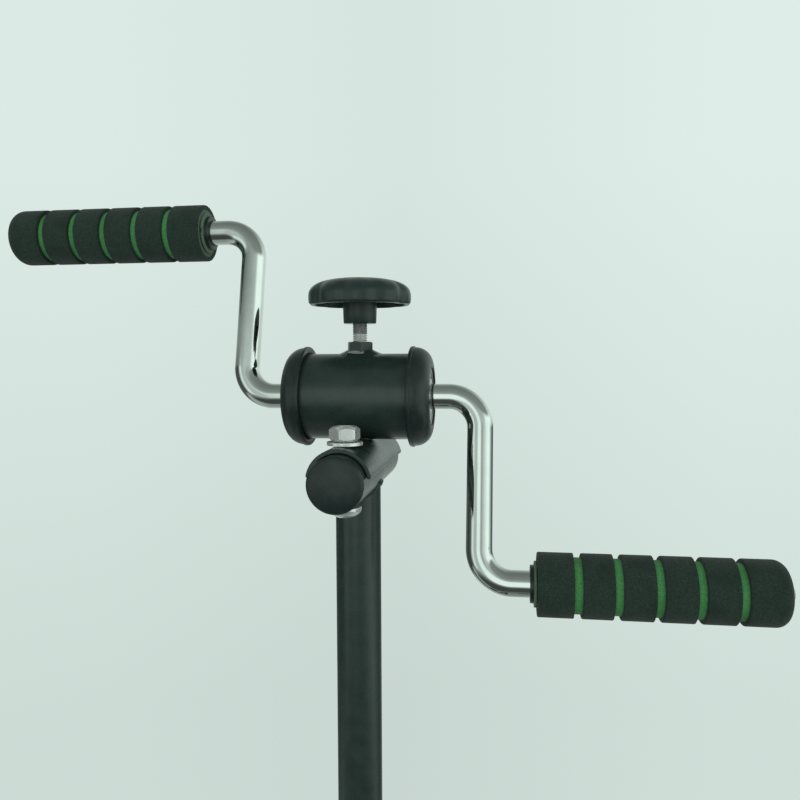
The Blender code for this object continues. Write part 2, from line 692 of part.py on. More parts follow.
def knob_rings(base, radius, height, boss_end):
    """(radius, height, share of the lobes' depth) of each ring, from the dome's middle to the blind hole."""
    boss = KNOB_BOSS_DIA / 2
    hole = STUD_DIA / 2 + SEAT_GAP
    hole_end = boss_end + STUD_IN_KNOB + SEAT_GAP
    rim = radius - KNOB_RIM_WIDTH
    waist = base + height / 2
    widest = base + KNOB_EDGE_RISE
    power = 2 / KNOB_SQUARENESS
    dome = (height - KNOB_EDGE_RISE) / math.sin(KNOB_DOME_END) ** power
    rings = []
    for i in range(KNOB_DOME_STEPS, -1, -1):
        angle = KNOB_DOME_END * i / KNOB_DOME_STEPS
        spread = math.cos(angle) ** power
        rings.append((radius * spread, widest + dome * math.sin(angle) ** power, spread ** KNOB_LOBE_FADE))
    rings += [(radius - KNOB_EDGE_ROUND, base, 1), (rim, base, 1), (rim, waist, 1), (boss, waist, 0)]
    rings += [(boss, boss_end, 0), (hole, boss_end, 0), (hole, hole_end, 0)]
    return rings


def knob(name, base, diameter, height, boss_drop, turn_axis):
    """A lobed hand knob on local Z: domed top, hollow underside and a round boss with a blind hole."""
    count = KNOB_POINTS_PER_LOBE * KNOB_LOBES
    bm = bmesh.new()
    loops = []
    for ring_radius, ring_height, lobes in knob_rings(base, diameter / 2, height, base - boss_drop):
        loop = []
        for i in range(count):
            angle = KNOB_REST_TURN + 2 * math.pi * i / count
            in_hollow = i % KNOB_POINTS_PER_LOBE == 0
            reach = ring_radius - KNOB_LOBE_DEPTH * lobes * in_hollow
            loop.append(bm.verts.new((reach * math.cos(angle), reach * math.sin(angle), ring_height)))
        loops.append(loop)
    for upper, lower in zip(loops, loops[1:]):
        for i in range(count):
            j = (i + 1) % count
            bm.faces.new((upper[i], lower[i], lower[j], upper[j]))
    bm.faces.new(loops[0])
    bm.faces.new(list(reversed(loops[-1])))
    mesh = bpy.data.meshes.new(name)
    bmesh.ops.recalc_face_normals(bm, faces=bm.faces)
    bm.to_mesh(mesh)
    bm.free()
    piece = as_part(bpy.data.objects.new(name, mesh), GLOSSY_PLASTIC)
    piece.parent = turn_axis
    return piece


def stud(name, bottom, top, turn_axis):
    """A screw's plain solid on local Z, chamfered at its ends."""
    radius = STUD_DIA / 2
    tip = radius - STUD_CHAMFER
    profile = [(0, top), (tip, top), (radius, top - STUD_CHAMFER),
               (radius, bottom + STUD_CHAMFER), (tip, bottom), (0, bottom)]
    piece = as_part(turned(name, profile, SMALL_SIDES), ZINC)
    piece.parent = turn_axis
    return piece


def weld_nut(name, tube_radius, reach, where, along, cope):
    """A nut with a weld bead round its foot, coped to the tube that it is welded on."""
    bead = WELD_BEAD_DIA / 2
    bead_top = tube_radius + WELD_BEAD_HEIGHT
    foot = math.sqrt(tube_radius ** 2 - bead ** 2)
    nut, bore = hex_nut(name, WELD_NUT_ACROSS_FLATS, foot, reach, where, along)
    as_part(nut, SATIN_BLACK)
    profile = [(0, bead_top), (WELD_NUT_ACROSS_FLATS / 2, bead_top), (bead, tube_radius),
               (bead - WELD_BEAD_EDGE, foot), (0, foot)]
    fillet = place(as_cutter(turned(name + "_bead", profile, ROUND_SIDES)), where, along)
    combine(nut, fillet, "UNION")
    return cut(nut, bore, cope)


def hub(prefix, axle, crank_tilt):
    """One complete hub round its axle: tube, caps, bearings, brake and knob. Returns the crank's axis."""
    hub_tube(prefix, axle)
    for side_name, along in (("left", "-X"), ("right", "+X")):
        cap = as_part(turned(prefix + "_" + side_name + "_cap", cap_profile(), FINE_SIDES), BLACK_PLASTIC)
        place(cap, axle, along)
        bearing = as_part(turned(prefix + "_" + side_name + "_bearing", bearing_profile(), ROUND_SIDES),
                          BEARING_STEEL)
        place(bearing, axle, along)
    cope = rod_cutter(prefix + "_nut_cope", HUB_RADIUS + SEAT_GAP, HUB_TUBE_DIA, axle, "+X", FINE_SIDES)
    weld_nut(prefix + "_weld_nut", HUB_RADIUS, WELD_NUT_TOP, axle, "+Z", cope)
    slide = joint_axis(prefix + "_shoe_slide_axis", axle)
    brake_shoe(prefix, slide)
    screw_axis = joint_axis(prefix + "_knob_turn_axis", (0, 0, 0), parent=slide)
    tip = SHOE_TOP - STUD_IN_SHOE + SEAT_GAP
    boss_end = TENSION_KNOB_BASE - KNOB_BOSS_DROP
    stud(prefix + "_tension_stud", tip, boss_end + STUD_IN_KNOB, screw_axis)
    knob(prefix + "_tension_knob", TENSION_KNOB_BASE, TENSION_KNOB_DIA, TENSION_KNOB_HEIGHT,
         KNOB_BOSS_DROP, screw_axis)
    crank_axis = joint_axis(prefix + "_crank_axis", axle, (-crank_tilt, 0, 0))
    brake_drum(prefix, crank_axis)
    return crank_axis


def crank_route(side, up, throw, end):
    """The bent bar's centre line: out along the axle, up or down the arm, and out again."""
    bend = ROD_BEND_RADIUS
    points = [(side * ROD_START, 0, 0)]
    for i in range(BEND_STEPS + 1):
        angle = math.pi / 2 * i / BEND_STEPS
        points.append((side * (CRANK_ARM_X - bend + bend * math.sin(angle)), 0,
                       up * bend * (1 - math.cos(angle))))
    for i in range(BEND_STEPS + 1):
        angle = math.pi / 2 * i / BEND_STEPS
        points.append((side * (CRANK_ARM_X + bend - bend * math.cos(angle)), 0,
                       up * (throw - bend + bend * math.sin(angle))))
    points.append((side * end, 0, up * throw))
    return points


def crank_bar(name, side, up, throw, end, axis):
    piece = as_part(bar(name, crank_route(side, up, throw, end), ROD_DIA, SMALL_SIDES), CHROME)
    piece.parent = axis
    return piece


def grip_profile():
    """The foam's section, from its outer end to its inner end: six bands parted by five grooves."""
    radius = GRIP_FOAM_DIA / 2
    bore = GRIP_SLEEVE_DIA / 2 + SEAT_GAP
    groove = radius - GRIP_GROOVE_DEPTH
    edge = GRIP_EDGE_ROUND
    top = GRIP_LENGTH
    profile = [(bore, top)] + arc(radius - GRIP_END_ROUND, top - GRIP_END_ROUND, GRIP_END_ROUND, 90, 0, 3)
    height = top - GRIP_LAST_BAND
    for band in [GRIP_BAND] * GRIP_BANDS_BETWEEN + [GRIP_FIRST_BAND]:
        profile += [(radius, height), (groove, height)]
        height -= GRIP_GROOVE_WIDTH
        profile += [(groove, height), (radius, height)]
        height -= band
    profile += [(radius, edge), (radius - edge, 0), (bore, 0)]
    return profile


def hand_grip(side_name, side, up, crank_axis):
    """Flanged sleeve and foam, which spin on the bar, and the retainer on the bar's end."""
    along = "+X" if side > 0 else "-X"
    spin = joint_axis(side_name + "_grip_axis", (0, 0, up * ARM_CRANK_RADIUS), parent=crank_axis)
    foam = as_part(turned(side_name + "_grip_foam", grip_profile(), ROUND_SIDES), FOAM)
    place(foam, (side * GRIP_START, 0, 0), along, spin)
    bore = ROD_DIA / 2 + RUNNING_GAP
    sleeve = GRIP_SLEEVE_DIA / 2
    flange = GRIP_FLANGE_DIA / 2
    ring = GRIP_RING_DIA / 2
    flange_top = GRIP_START - SEAT_GAP
    ring_top = flange_top - GRIP_FLANGE_WIDTH
    ring_end = ring_top - GRIP_RING_WIDTH
    end = ARM_ROD_END - SEAT_GAP
    profile = [(bore, end), (sleeve, end), (sleeve, flange_top), (flange, flange_top), (flange, ring_top),
               (ring, ring_top), (ring, ring_end), (bore, ring_end)]
    tube_piece = as_part(turned(side_name + "_grip_sleeve", profile, SMALL_SIDES), BLACK_PLASTIC)
    place(tube_piece, (0, 0, 0), along, spin)
    washer = RETAINER_WASHER_DIA / 2
    head = RETAINER_HEAD_DIA / 2
    start = ARM_ROD_END + SEAT_GAP
    under_head = start + RETAINER_WASHER_THICKNESS
    top = under_head + RETAINER_HEAD_HEIGHT
    profile = [(0, top), (head - RETAINER_HEAD_ROUND, top), (head, top - RETAINER_HEAD_ROUND),
               (head, under_head), (washer, under_head), (washer, start), (0, start)]
    retainer = as_part(turned(side_name + "_grip_retainer", profile, SMALL_SIDES), ZINC)
    place(retainer, (0, 0, up * ARM_CRANK_RADIUS), along, crank_axis)


def pedal(side_name, side, up, crank_axis):
    """A moulded pedal body with four wells, and the strap over it."""
    spin = joint_axis(side_name + "_pedal_axis", (0, 0, up * LEG_CRANK_RADIUS),
                      (LEG_CRANK_TILT, 0, 0), crank_axis)
    middle = side * (PEDAL_START + PEDAL_WIDTH / 2)
    height = PEDAL_TOP + PEDAL_BOTTOM
    centre_z = (PEDAL_TOP - PEDAL_BOTTOM) / 2
    body = box_mesh(side_name + "_pedal", (PEDAL_WIDTH, PEDAL_LENGTH, height), (middle, 0, centre_z))
    body.parent = spin
    as_part(body, BLACK_PLASTIC)
    round_edges(body, PEDAL_CORNER, PEDAL_CORNER_STEPS)
    bore = rod_cutter(side_name + "_pedal_bore", ROD_DIA / 2 + RUNNING_GAP, 2 * PEDAL_WIDTH,
                      (middle, 0, 0), "+X", ROUND_SIDES, spin)
    cut(body, bore)
    well_x = (PEDAL_WIDTH - 3 * PEDAL_RIM) / 2
    well_y = (PEDAL_LENGTH - PEDAL_BARREL_WIDTH - 2 * PEDAL_RIM) / 2
    offset_x = (well_x + PEDAL_RIM) / 2
    offset_y = (PEDAL_BARREL_WIDTH + well_y) / 2
    for x_name, x_side in (("inner", -1), ("outer", 1)):
        for y_name, y_side in (("front", -1), ("rear", 1)):
            name = side_name + "_pedal_well_" + x_name + "_" + y_name
            centre = (middle + x_side * offset_x, y_side * offset_y, PEDAL_FLOOR)
            well = as_cutter(box_mesh(name, (well_x, well_y, height), centre))
            well.parent = spin
            cut(body, well)
    strap(side_name, middle, spin)


def strap_outline():
    """The strap's section across the foot: a high arch whose ends run down beside the pedal."""
    inner = PEDAL_LENGTH / 2 + SEAT_GAP
    points = []
    for reach, rise in ((inner + STRAP_THICKNESS, STRAP_HEIGHT), (inner, STRAP_HEIGHT - STRAP_THICKNESS)):
        row = [(reach, -PEDAL_BOTTOM / 2)]
        for i in range(STRAP_STEPS + 1):
            angle = math.pi * i / STRAP_STEPS
            row.append((reach * math.cos(angle), rise * math.sin(angle)))
        row.append((-reach, -PEDAL_BOTTOM / 2))
        points += row if not points else list(reversed(row))
    return points


def strap(side_name, middle, spin):
    piece = extruded(side_name + "_pedal_strap", strap_outline(), STRAP_WIDTH)
    piece.location = (middle, 0, 0)
    piece.rotation_euler = (math.pi / 2, 0, math.pi / 2)
    piece.parent = spin
    return as_part(piece, RUBBER)


def arm_unit():
    """Head tube, saddle, hub, hand crank and grips on top of the upper post."""
    head_tube("arm_head_tube", ARM_AXLE, HEAD_TUBE_FRONT, HEAD_TUBE_REAR)
    tube_plug("arm_front_plug", ARM_AXLE, -HEAD_TUBE_FRONT, "-Y")
    tube_plug("arm_rear_plug", ARM_AXLE, HEAD_TUBE_REAR, "+Y")
    saddle("arm_saddle", ARM_AXLE)
    saddle_bolt("arm", ARM_AXLE, washer=True)
    crank_axis = hub("arm", ARM_AXLE, ARM_CRANK_TILT)
    for side_name, side, up in (("left", -1, 1), ("right", 1, -1)):
        crank_bar("arm_" + side_name + "_crank_bar", side, up, ARM_CRANK_RADIUS, ARM_ROD_END, crank_axis)
        hand_grip(side_name, side, up, crank_axis)


def leg_unit():
    """The same hub on a stub tube from the lower post, with the pedal crank."""
    rear = LEG_AXLE_TO_POST
    cope = rod_cutter("stub_post_cope", LOWER_POST_DIA / 2 + SEAT_GAP, 4 * HEAD_TUBE_DIA,
                      (0, POST_Y, LEG_AXLE_HEIGHT - HEAD_TUBE_DROP), "+Z", FINE_SIDES)
    head_tube("leg_head_tube", LEG_AXLE, HEAD_TUBE_FRONT, rear, cope)
    tube_plug("leg_front_plug", LEG_AXLE, -HEAD_TUBE_FRONT, "-Y")
    saddle("leg_saddle", LEG_AXLE)
    saddle_bolt("leg", LEG_AXLE, washer=False)
    crank_axis = hub("leg", LEG_AXLE, LEG_CRANK_TILT)
    for side_name, side, up in (("left", -1, 1), ("right", 1, -1)):
        crank_bar("leg_" + side_name + "_crank_bar", side, up, LEG_CRANK_RADIUS, LEG_ROD_END, crank_axis)
        pedal(side_name, side, up, crank_axis)


def height_clamp():
    """Weld nut, screw, knob and pad that hold the upper post at its height. Local Z points to the user."""
    where = Vector((0, POST_Y, CLAMP_HEIGHT))
    outward = ALONG["-Y"]
    cope = rod_cutter("clamp_nut_cope", LOWER_POST_DIA / 2 + SEAT_GAP, 2 * LOWER_POST_DIA, where, "+Z")
    weld_nut("clamp_weld_nut", LOWER_POST_DIA / 2, CLAMP_NUT_REACH, where, "-Y", cope)
    slide = joint_axis("clamp_slide_axis", where, outward)
    pad_start = UPPER_POST_DIA / 2 + SEAT_GAP
    pad_end = pad_start + CLAMP_PAD_THICKNESS
    pad = as_part(turned("clamp_pad", [(0, pad_end), (STUD_DIA / 2, pad_end), (STUD_DIA / 2, pad_start),
                                       (0, pad_start)], SMALL_SIDES), BLACK_PLASTIC)
    pad.parent = slide
    turn = joint_axis("clamp_turn_axis", (0, 0, 0), parent=slide)
    stud("clamp_stud", pad_end + SEAT_GAP, CLAMP_BOSS_START + STUD_IN_KNOB, turn)
    knob("clamp_knob", CLAMP_BOSS_START + KNOB_BOSS_DROP, CLAMP_KNOB_DIA, CLAMP_KNOB_HEIGHT,
         KNOB_BOSS_DROP, turn)


def shade_pieces():
    """Smooth shading on every piece, kept sharp at real edges."""
    for obj in PARTS.objects:
        if obj.type == "MESH":
            obj.data.shade_smooth()
            obj.data.set_sharp_from_angle(angle=SHARP_ANGLE)


def main():
    base()
    lower_post()
    post_bushing()
    upper_post()
    height_clamp()
    arm_unit()
    leg_unit()
    shade_pieces()
    bpy.context.view_layer.update()


main()
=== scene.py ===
"""Arm and leg exerciser: the finish of every surface, the camera and a plain studio.

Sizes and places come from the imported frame. Lengths are in metres, and the frame's axes are used as they are:
X along the crank axles, +Y away from the user, +Z up the post.
"""

import json
import math

import bmesh
import bpy
from bpy.props import FloatProperty
from bpy.props import FloatVectorProperty
from bpy.props import IntProperty
from bpy.props import PointerProperty
from bpy.types import Operator
from bpy.types import Panel
from bpy.types import PropertyGroup
from mathutils import Matrix
from mathutils import Vector


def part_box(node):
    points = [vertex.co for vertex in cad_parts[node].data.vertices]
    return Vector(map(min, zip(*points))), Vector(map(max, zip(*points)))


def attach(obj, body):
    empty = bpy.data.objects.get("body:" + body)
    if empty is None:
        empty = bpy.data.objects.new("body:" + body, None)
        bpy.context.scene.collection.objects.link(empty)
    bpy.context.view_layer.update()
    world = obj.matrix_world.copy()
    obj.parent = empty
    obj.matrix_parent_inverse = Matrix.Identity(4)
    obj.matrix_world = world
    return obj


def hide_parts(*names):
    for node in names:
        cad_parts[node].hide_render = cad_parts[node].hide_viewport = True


bl_info = {
    "name": "Arm and Leg Exerciser",
    "version": (1, 0, 0),
    "blender": (4, 5, 0),
    "location": "View3D > Sidebar > Exerciser",
    "description": "Dresses the exerciser's frame in its real finishes and sets up a studio round it",
    "category": "Object",
}

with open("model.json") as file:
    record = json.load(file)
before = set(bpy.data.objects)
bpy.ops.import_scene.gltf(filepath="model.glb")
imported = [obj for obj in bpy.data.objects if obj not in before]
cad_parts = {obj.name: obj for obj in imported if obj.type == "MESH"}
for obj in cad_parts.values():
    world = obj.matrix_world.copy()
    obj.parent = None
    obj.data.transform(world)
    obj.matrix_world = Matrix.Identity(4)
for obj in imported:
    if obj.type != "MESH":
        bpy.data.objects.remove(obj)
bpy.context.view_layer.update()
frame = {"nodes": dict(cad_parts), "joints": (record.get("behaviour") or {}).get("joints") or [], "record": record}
RECORD = frame["record"]
BODY_OF = {node: body for body, nodes in RECORD["behaviour"]["bodies"].items() for node in nodes}
SLOT_OF = {part["node"]: part["material_slot"] for part in RECORD["subparts"]}
JOINT_AT = {joint["name"]: Vector(joint["pos_m"]) for joint in frame["joints"] if joint.get("pos_m")}

MM = 0.001
X_AXIS = Vector((1, 0, 0))
Y_AXIS = Vector((0, 1, 0))
Z_AXIS = Vector((0, 0, 1))
SIDES = (("left", -1), ("right", 1))
TINY = 1e-7


def named_length(name, description, default):
    """A length that a user may change, in metres."""
    return FloatProperty(name=name, description=description, default=default, min=0,
                         unit="LENGTH", precision=5)


def named_angle(name, description, degrees):
    """An angle that a user may change, given in degrees."""
    return FloatProperty(name=name, description=description, default=math.radians(degrees), subtype="ANGLE")


def named_colour(name, description, default):
    """A linear colour that a user may change."""
    return FloatVectorProperty(name=name, description=description, default=default, size=3, min=0, max=1,
                               subtype="COLOR")


def named_pixels(name, description, default):
    """A distance in pixels of the 800 x 800 picture."""
    return FloatProperty(name=name, description=description, default=default, min=0, subtype="PIXEL")


def named_power(name, description, default):
    """A lamp's power in watts."""
    return FloatProperty(name=name, description=description, default=default, min=0, unit="POWER")


def named_strength(name, description, default):
    """A plain number that a user may change."""
    return FloatProperty(name=name, description=description, default=default, min=0)


class ExerciserSizes(PropertyGroup):
    """Sizes of the detail that the frame's solids leave out."""

    round_sides: IntProperty(name="Round sides", description="Sides of a round piece", default=96, min=12)
    frame_wall: named_length("Frame wall", "Wall of the base, the lower post and the head tubes", 1.6 * MM)
    post_wall: named_length("Post wall", "Wall of the sliding post", 1.5 * MM)
    hub_wall: named_length("Hub wall", "Wall of the hub tubes", 2 * MM)
    foot_pad: named_length("Foot pad", "Half the width of a foot cap's flat pad", 17 * MM)
    collar_height: named_length("Collar height", "Height of the bushing's collar over the lower post", 5 * MM)
    cap_edge: named_length("Cap edge", "From a hub's middle to the edge of its end cap", 28.3 * MM)
    cap_flat: named_length("Cap flat", "Radius at which an end cap's dome starts", 18 * MM)
    cap_lip: named_length("Cap lip", "Width of the stepped lip of a hub's end cap", 2.6 * MM)
    cap_step: named_length("Cap step", "Height of the lip over the cap's dome", 0.6 * MM)
    cap_roll: named_length("Cap roll", "Radius of the rolled lip of a hub's end cap", 1.2 * MM)
    saddle_wrap: named_angle("Saddle wrap", "How far a saddle plate goes round its tube", 156)
    saddle_plate: named_length("Saddle plate", "Thickness of a saddle plate", 2.2 * MM)
    seat_gap: named_length("Seat gap", "Gap between two pieces that are welded or pressed together", 0.1 * MM)
    weld_bead: named_length("Weld bead", "Half the width of a weld bead", 1.5 * MM)
    weld_pitch: named_length("Weld pitch", "Distance between the ripples of a weld", 1.9 * MM)
    stud_radius: named_length("Stud radius", "Radius of the M8 studs and bolts", 4 * MM)
    stud_hole: named_length("Stud hole", "Radius of the holes that the M8 studs pass", 4.1 * MM)
    weld_nut_width: named_length("Weld nut", "Width of a weld nut across its flats", 13 * MM)
    weld_nut_reach: named_length("Weld nut reach", "From a hub's middle to the top of its weld nut", 30 * MM)
    clamp_nut_reach: named_length("Clamp nut reach", "From a post's middle to its nut's end", 23 * MM)
    # This length of thread under a tension knob is painted dark as shade under the knob
    painted_shade_length: named_length("Oiled length", "Length of dark, oiled thread under a tension knob", 5.5 * MM)
    saddle_nut_width: named_length("Saddle nut", "Width of a saddle's nut across its flats", 14 * MM)
    thread_pitch: named_length("Thread pitch", "Pitch of the M8 studs", 1.25 * MM)
    thread_depth: named_length("Thread depth", "Depth of the M8 studs' thread", 0.32 * MM)
    rod_radius: named_length("Rod radius", "Radius of the crank bars", 7 * MM)
    rod_bend: named_length("Rod bend", "Bend radius of the crank bars' centre line", 17 * MM)
    rod_gap: named_length("Rod gap", "Gap between a bar and what turns or sits on it", 0.2 * MM)
    arm_place: named_length("Arm place", "From the machine's middle to the crank arms", 66 * MM)
    foam_skin: named_length("Foam skin", "Thickness of a grip's black foam over its green core", 2.2 * MM)
    first_band: named_length("First band", "Length of the grip's innermost band", 18 * MM)
    last_band: named_length("Last band", "Length of the grip's outermost band", 21 * MM)
    groove_width: named_length("Groove width", "Width of a groove between two bands", 4 * MM)
    band_count: IntProperty(name="Bands", description="Bands of black foam on a grip", default=6, min=1)
    end_round: named_length("End round", "Radius of the grip's outer end", 6.5 * MM)
    knob_lobes: IntProperty(name="Knob lobes", description="Lobes round a hand knob", default=10, min=3)
    lobe_depth: named_length("Lobe depth", "Depth of the hollows between a knob's lobes", 1.5 * MM)
    knob_turn: named_angle("Knob turn", "Angle of the first hollow at rest", 11)
    knob_boss: named_length("Knob boss", "Length of the boss under a knob", 10 * MM)
    pedal_rim: named_length("Pedal rim", "Width of a pedal's rims and middle rib", 5 * MM)
    pedal_barrel: named_length("Pedal barrel", "Width of the solid middle of a pedal round its bar", 22 * MM)
    strap_thickness: named_length("Strap thickness", "Thickness of a pedal's strap", 1.6 * MM)


class ExerciserColours(PropertyGroup):
    """Colours of the finishes."""

    satin_black: named_colour("Satin black", "Powder coat on the steel tubes", (0.011, 0.023, 0.019))
    black_plastic: named_colour("Black plastic", "Moulded caps, plugs, sleeves and pedals",
                                (0.007, 0.016, 0.014))
    knob_black: named_colour("Knob black", "Moulded hand knobs", (0.011, 0.024, 0.021))
    foam_black: named_colour("Foam black", "Outer foam of the grips", (0.011, 0.023, 0.017))
    foam_green: named_colour("Foam green", "Core foam that shows in the grips' grooves",
                             (0.045, 0.190, 0.060))
    # The sleeves' flange rims take this colour too, as painted light
    foam_end: named_colour("Foam end", "Cut end of the core foam", (0.085, 0.145, 0.095))
    chrome: named_colour("Chrome", "Plated crank bars", (0.80, 0.83, 0.81))
    zinc: named_colour("Zinc", "Plated studs, nuts, bolts and washers", (0.80, 0.84, 0.82))
    bearing_steel: named_colour("Bearing steel", "Ground rings of the bearings and the brake drums",
                                (0.58, 0.60, 0.60))
    rubber: named_colour("Rubber", "Foot caps and pedal straps", (0.010, 0.018, 0.015))
    felt: named_colour("Felt", "Brake shoes", (0.20, 0.15, 0.10))


class ExerciserStudio(PropertyGroup):
    """The camera, which stands where the photograph was taken, and the light round the object."""

    distance: named_length("Distance", "From the camera to the arm hub's middle, along the view", 0.413)
    yaw: named_angle("Yaw", "Camera's turn to the left of +Y", 8.25)
    pitch: named_angle("Pitch", "Camera's tilt down", 3.15)
    roll: named_angle("Roll", "Camera's turn about its view", -0.22)
    focal_pixels: named_pixels("Focal length", "Camera's focal length in pixels of the picture", 747)
    hub_pixel_x: named_pixels("Hub across", "Pixel column of the arm hub's middle", 360.5)
    hub_pixel_y: named_pixels("Hub down", "Pixel row of the arm hub's middle", 396.3)
    picture_pixels: named_pixels("Picture", "Width and height of the picture in pixels", 800)
    wall: named_colour("Wall", "Wall behind the object", (0.733, 0.848, 0.803))
    floor: named_colour("Floor", "Floor under the object", (0.640, 0.740, 0.695))
    air: named_strength("Air", "Strength of the light from all round", 0.65)
    key: named_power("Key lamp", "Power of the large lamp on the right", 9)
    fill: named_power("Fill lamp", "Power of the lamp over the camera", 9)


class ExerciserSettings(PropertyGroup):
    """All that a user may change."""

    sizes: PointerProperty(type=ExerciserSizes)
    colours: PointerProperty(type=ExerciserColours)
    studio: PointerProperty(type=ExerciserStudio)


def settings():
    """The scene's sizes, colours and studio values."""
    return bpy.context.scene.exerciser


# Finishes

FINISHES = {}


class Finish:
    """A node material whose colour, roughness and relief come from patterns in the piece's own space."""

    def __init__(self, name, colour, roughness, metallic=0.0, **sockets):
        self.material = bpy.data.materials.new(name)
        self.material.use_nodes = True
        self.nodes = self.material.node_tree.nodes
        self.links = self.material.node_tree.links
        self.shader = self.nodes["Principled BSDF"]
        self.shader.inputs["Base Color"].default_value = (*colour, 1)
        self.shader.inputs["Roughness"].default_value = roughness
        self.shader.inputs["Metallic"].default_value = metallic
        # A keyword such as specular_ior_level sets the socket Specular IOR Level
        for socket, value in sockets.items():
            self.shader.inputs[socket.replace("_", " ").title().replace("Ior", "IOR")].default_value = value
        self.colour = colour
        self.where = self.nodes.new("ShaderNodeTexCoord").outputs["Object"]
        self.relief = None

    def stretched(self, scale):
        """The piece's own space, stretched for drawn or brushed marks."""
        mapping = self.nodes.new("ShaderNodeMapping")
        mapping.inputs["Scale"].default_value = scale
        self.links.new(self.where, mapping.inputs["Vector"])
        return mapping.outputs["Vector"]

    def noise(self, size, detail=3.0, rough=0.55, where=None):
        """Cloudy noise whose spots are about this size, in metres."""
        node = self.nodes.new("ShaderNodeTexNoise")
        node.inputs["Scale"].default_value = 1 / size
        node.inputs["Detail"].default_value = detail
        node.inputs["Roughness"].default_value = rough
        self.links.new(where or self.where, node.inputs["Vector"])
        return node.outputs["Fac"]

    def cells(self, size):
        """Distance to the nearest of scattered points about this far apart, in metres."""
        node = self.nodes.new("ShaderNodeTexVoronoi")
        node.inputs["Scale"].default_value = 1 / size
        self.links.new(self.where, node.inputs["Vector"])
        return node.outputs["Distance"]

    def spread(self, pattern, low, high, start=0.3, end=0.7):
        """The pattern's values from start to end, spread from low to high."""
        node = self.nodes.new("ShaderNodeMapRange")
        node.inputs["From Min"].default_value = start
        node.inputs["From Max"].default_value = end
        node.inputs["To Min"].default_value = low
        node.inputs["To Max"].default_value = high
        self.links.new(pattern, node.inputs["Value"])
        return node.outputs["Result"]

    def tint(self, pattern, other, low=0.3, high=0.7):
        """Blend the base colour towards another one where the pattern is high."""
        mix = self.nodes.new("ShaderNodeMix")
        mix.data_type = "RGBA"
        self.links.new(self.spread(pattern, 0, 1, low, high), mix.inputs["Factor"])
        base = self.shader.inputs["Base Color"]
        if base.is_linked:
            self.links.new(base.links[0].from_socket, mix.inputs["A"])
        else:
            mix.inputs["A"].default_value = (*self.colour, 1)
        mix.inputs["B"].default_value = (*other, 1)
        self.links.new(mix.outputs["Result"], base)
        return self

    def rough(self, pattern, low, high):
        """Let the pattern drive the roughness between two values."""
        self.links.new(self.spread(pattern, low, high), self.shader.inputs["Roughness"])
        return self

    def bump(self, pattern, height, strength=1.0):
        """Raise the surface by up to this height, in metres, over the relief that is there already."""
        node = self.nodes.new("ShaderNodeBump")
        node.inputs["Strength"].default_value = strength
        node.inputs["Distance"].default_value = height
        self.links.new(pattern, node.inputs["Height"])
        if self.relief:
            self.links.new(self.relief, node.inputs["Normal"])
        self.relief = node.outputs["Normal"]
        self.links.new(self.relief, self.shader.inputs["Normal"])
        return self


def lighter(colour, factor, lift=0.0):
    """A colour times a factor, with a little grey added."""
    return tuple(min(1, part * factor + lift) for part in colour)


def powder_coat():
    """Satin black powder coat: fine orange peel, faint dust and uneven gloss."""
    colour = settings().colours.satin_black
    finish = Finish("satin_black_powder_coat", colour, 0.29, specular_ior_level=0.55)
    finish.tint(finish.noise(9 * MM, 4), lighter(colour, 1.35, 0.002))
    finish.rough(finish.noise(22 * MM, 3), 0.25, 0.33)
    finish.bump(finish.noise(1.1 * MM, 2), 0.05 * MM)
    return finish.bump(finish.noise(0.28 * MM, 2), 0.012 * MM)


def moulded_plastic():
    """Black moulded plastic with a fine spark-eroded grain and slight scuffs."""
    colour = settings().colours.black_plastic
    finish = Finish("black_moulded_plastic", colour, 0.36)
    finish.tint(finish.noise(6 * MM, 5), lighter(colour, 1.4, 0.003), 0.45, 0.75)
    finish.rough(finish.noise(12 * MM, 4), 0.31, 0.42)
    finish.bump(finish.noise(0.45 * MM, 3), 0.03 * MM)
    return finish.bump(finish.cells(0.7 * MM), 0.012 * MM)


def knob_plastic():
    """Smoother black plastic with sink marks and hairline scratches."""
    colour = settings().colours.knob_black
    finish = Finish("knob_black_plastic", colour, 0.34)
    finish.tint(finish.noise(8 * MM, 4), lighter(colour, 1.5, 0.002), 0.45, 0.8)
    finish.rough(finish.noise(7 * MM, 5), 0.29, 0.40)
    finish.bump(finish.noise(5 * MM, 1), 0.06 * MM)
    return finish.bump(finish.noise(0.5 * MM, 3, where=finish.stretched((1, 1, 0.2))), 0.008 * MM)


def chrome_plate():
    """Bright chrome over drawn bar: faint draw lines, haze and small pits."""
    colour = settings().colours.chrome
    finish = Finish("chrome_plate", colour, 0.06, 1.0)
    finish.tint(finish.noise(14 * MM, 4), lighter(colour, 0.90), 0.4, 0.8)
    finish.rough(finish.noise(6 * MM, 5), 0.035, 0.11)
    finish.bump(finish.noise(3.5 * MM, 2), 0.010 * MM)
    return finish.bump(finish.noise(0.5 * MM, 4), 0.0012 * MM)


def zinc_plate():
    """Bluish zinc plate with turning marks and a cloudy passivation."""
    colour = settings().colours.zinc
    finish = Finish("zinc_plate", colour, 0.28, 0.75)
    finish.tint(finish.noise(2.5 * MM, 4), lighter(colour, 0.84), 0.35, 0.75)
    finish.rough(finish.noise(1.6 * MM, 4), 0.20, 0.32)
    return finish.bump(finish.noise(0.35 * MM, 3), 0.006 * MM)


def painted_shade_thread():
    """Painted shade on the thread just under a knob: zinc darkened to a quarter, that shines only in spots."""
    colour = lighter(settings().colours.zinc, 0.24)
    finish = Finish("painted_shade_thread", colour, 0.42, 0.6)
    finish.tint(finish.noise(1.2 * MM, 4), lighter(colour, 2.2), 0.45, 0.8)
    finish.rough(finish.noise(0.9 * MM, 3), 0.3, 0.6)
    return finish.bump(finish.noise(0.4 * MM, 3), 0.02 * MM)


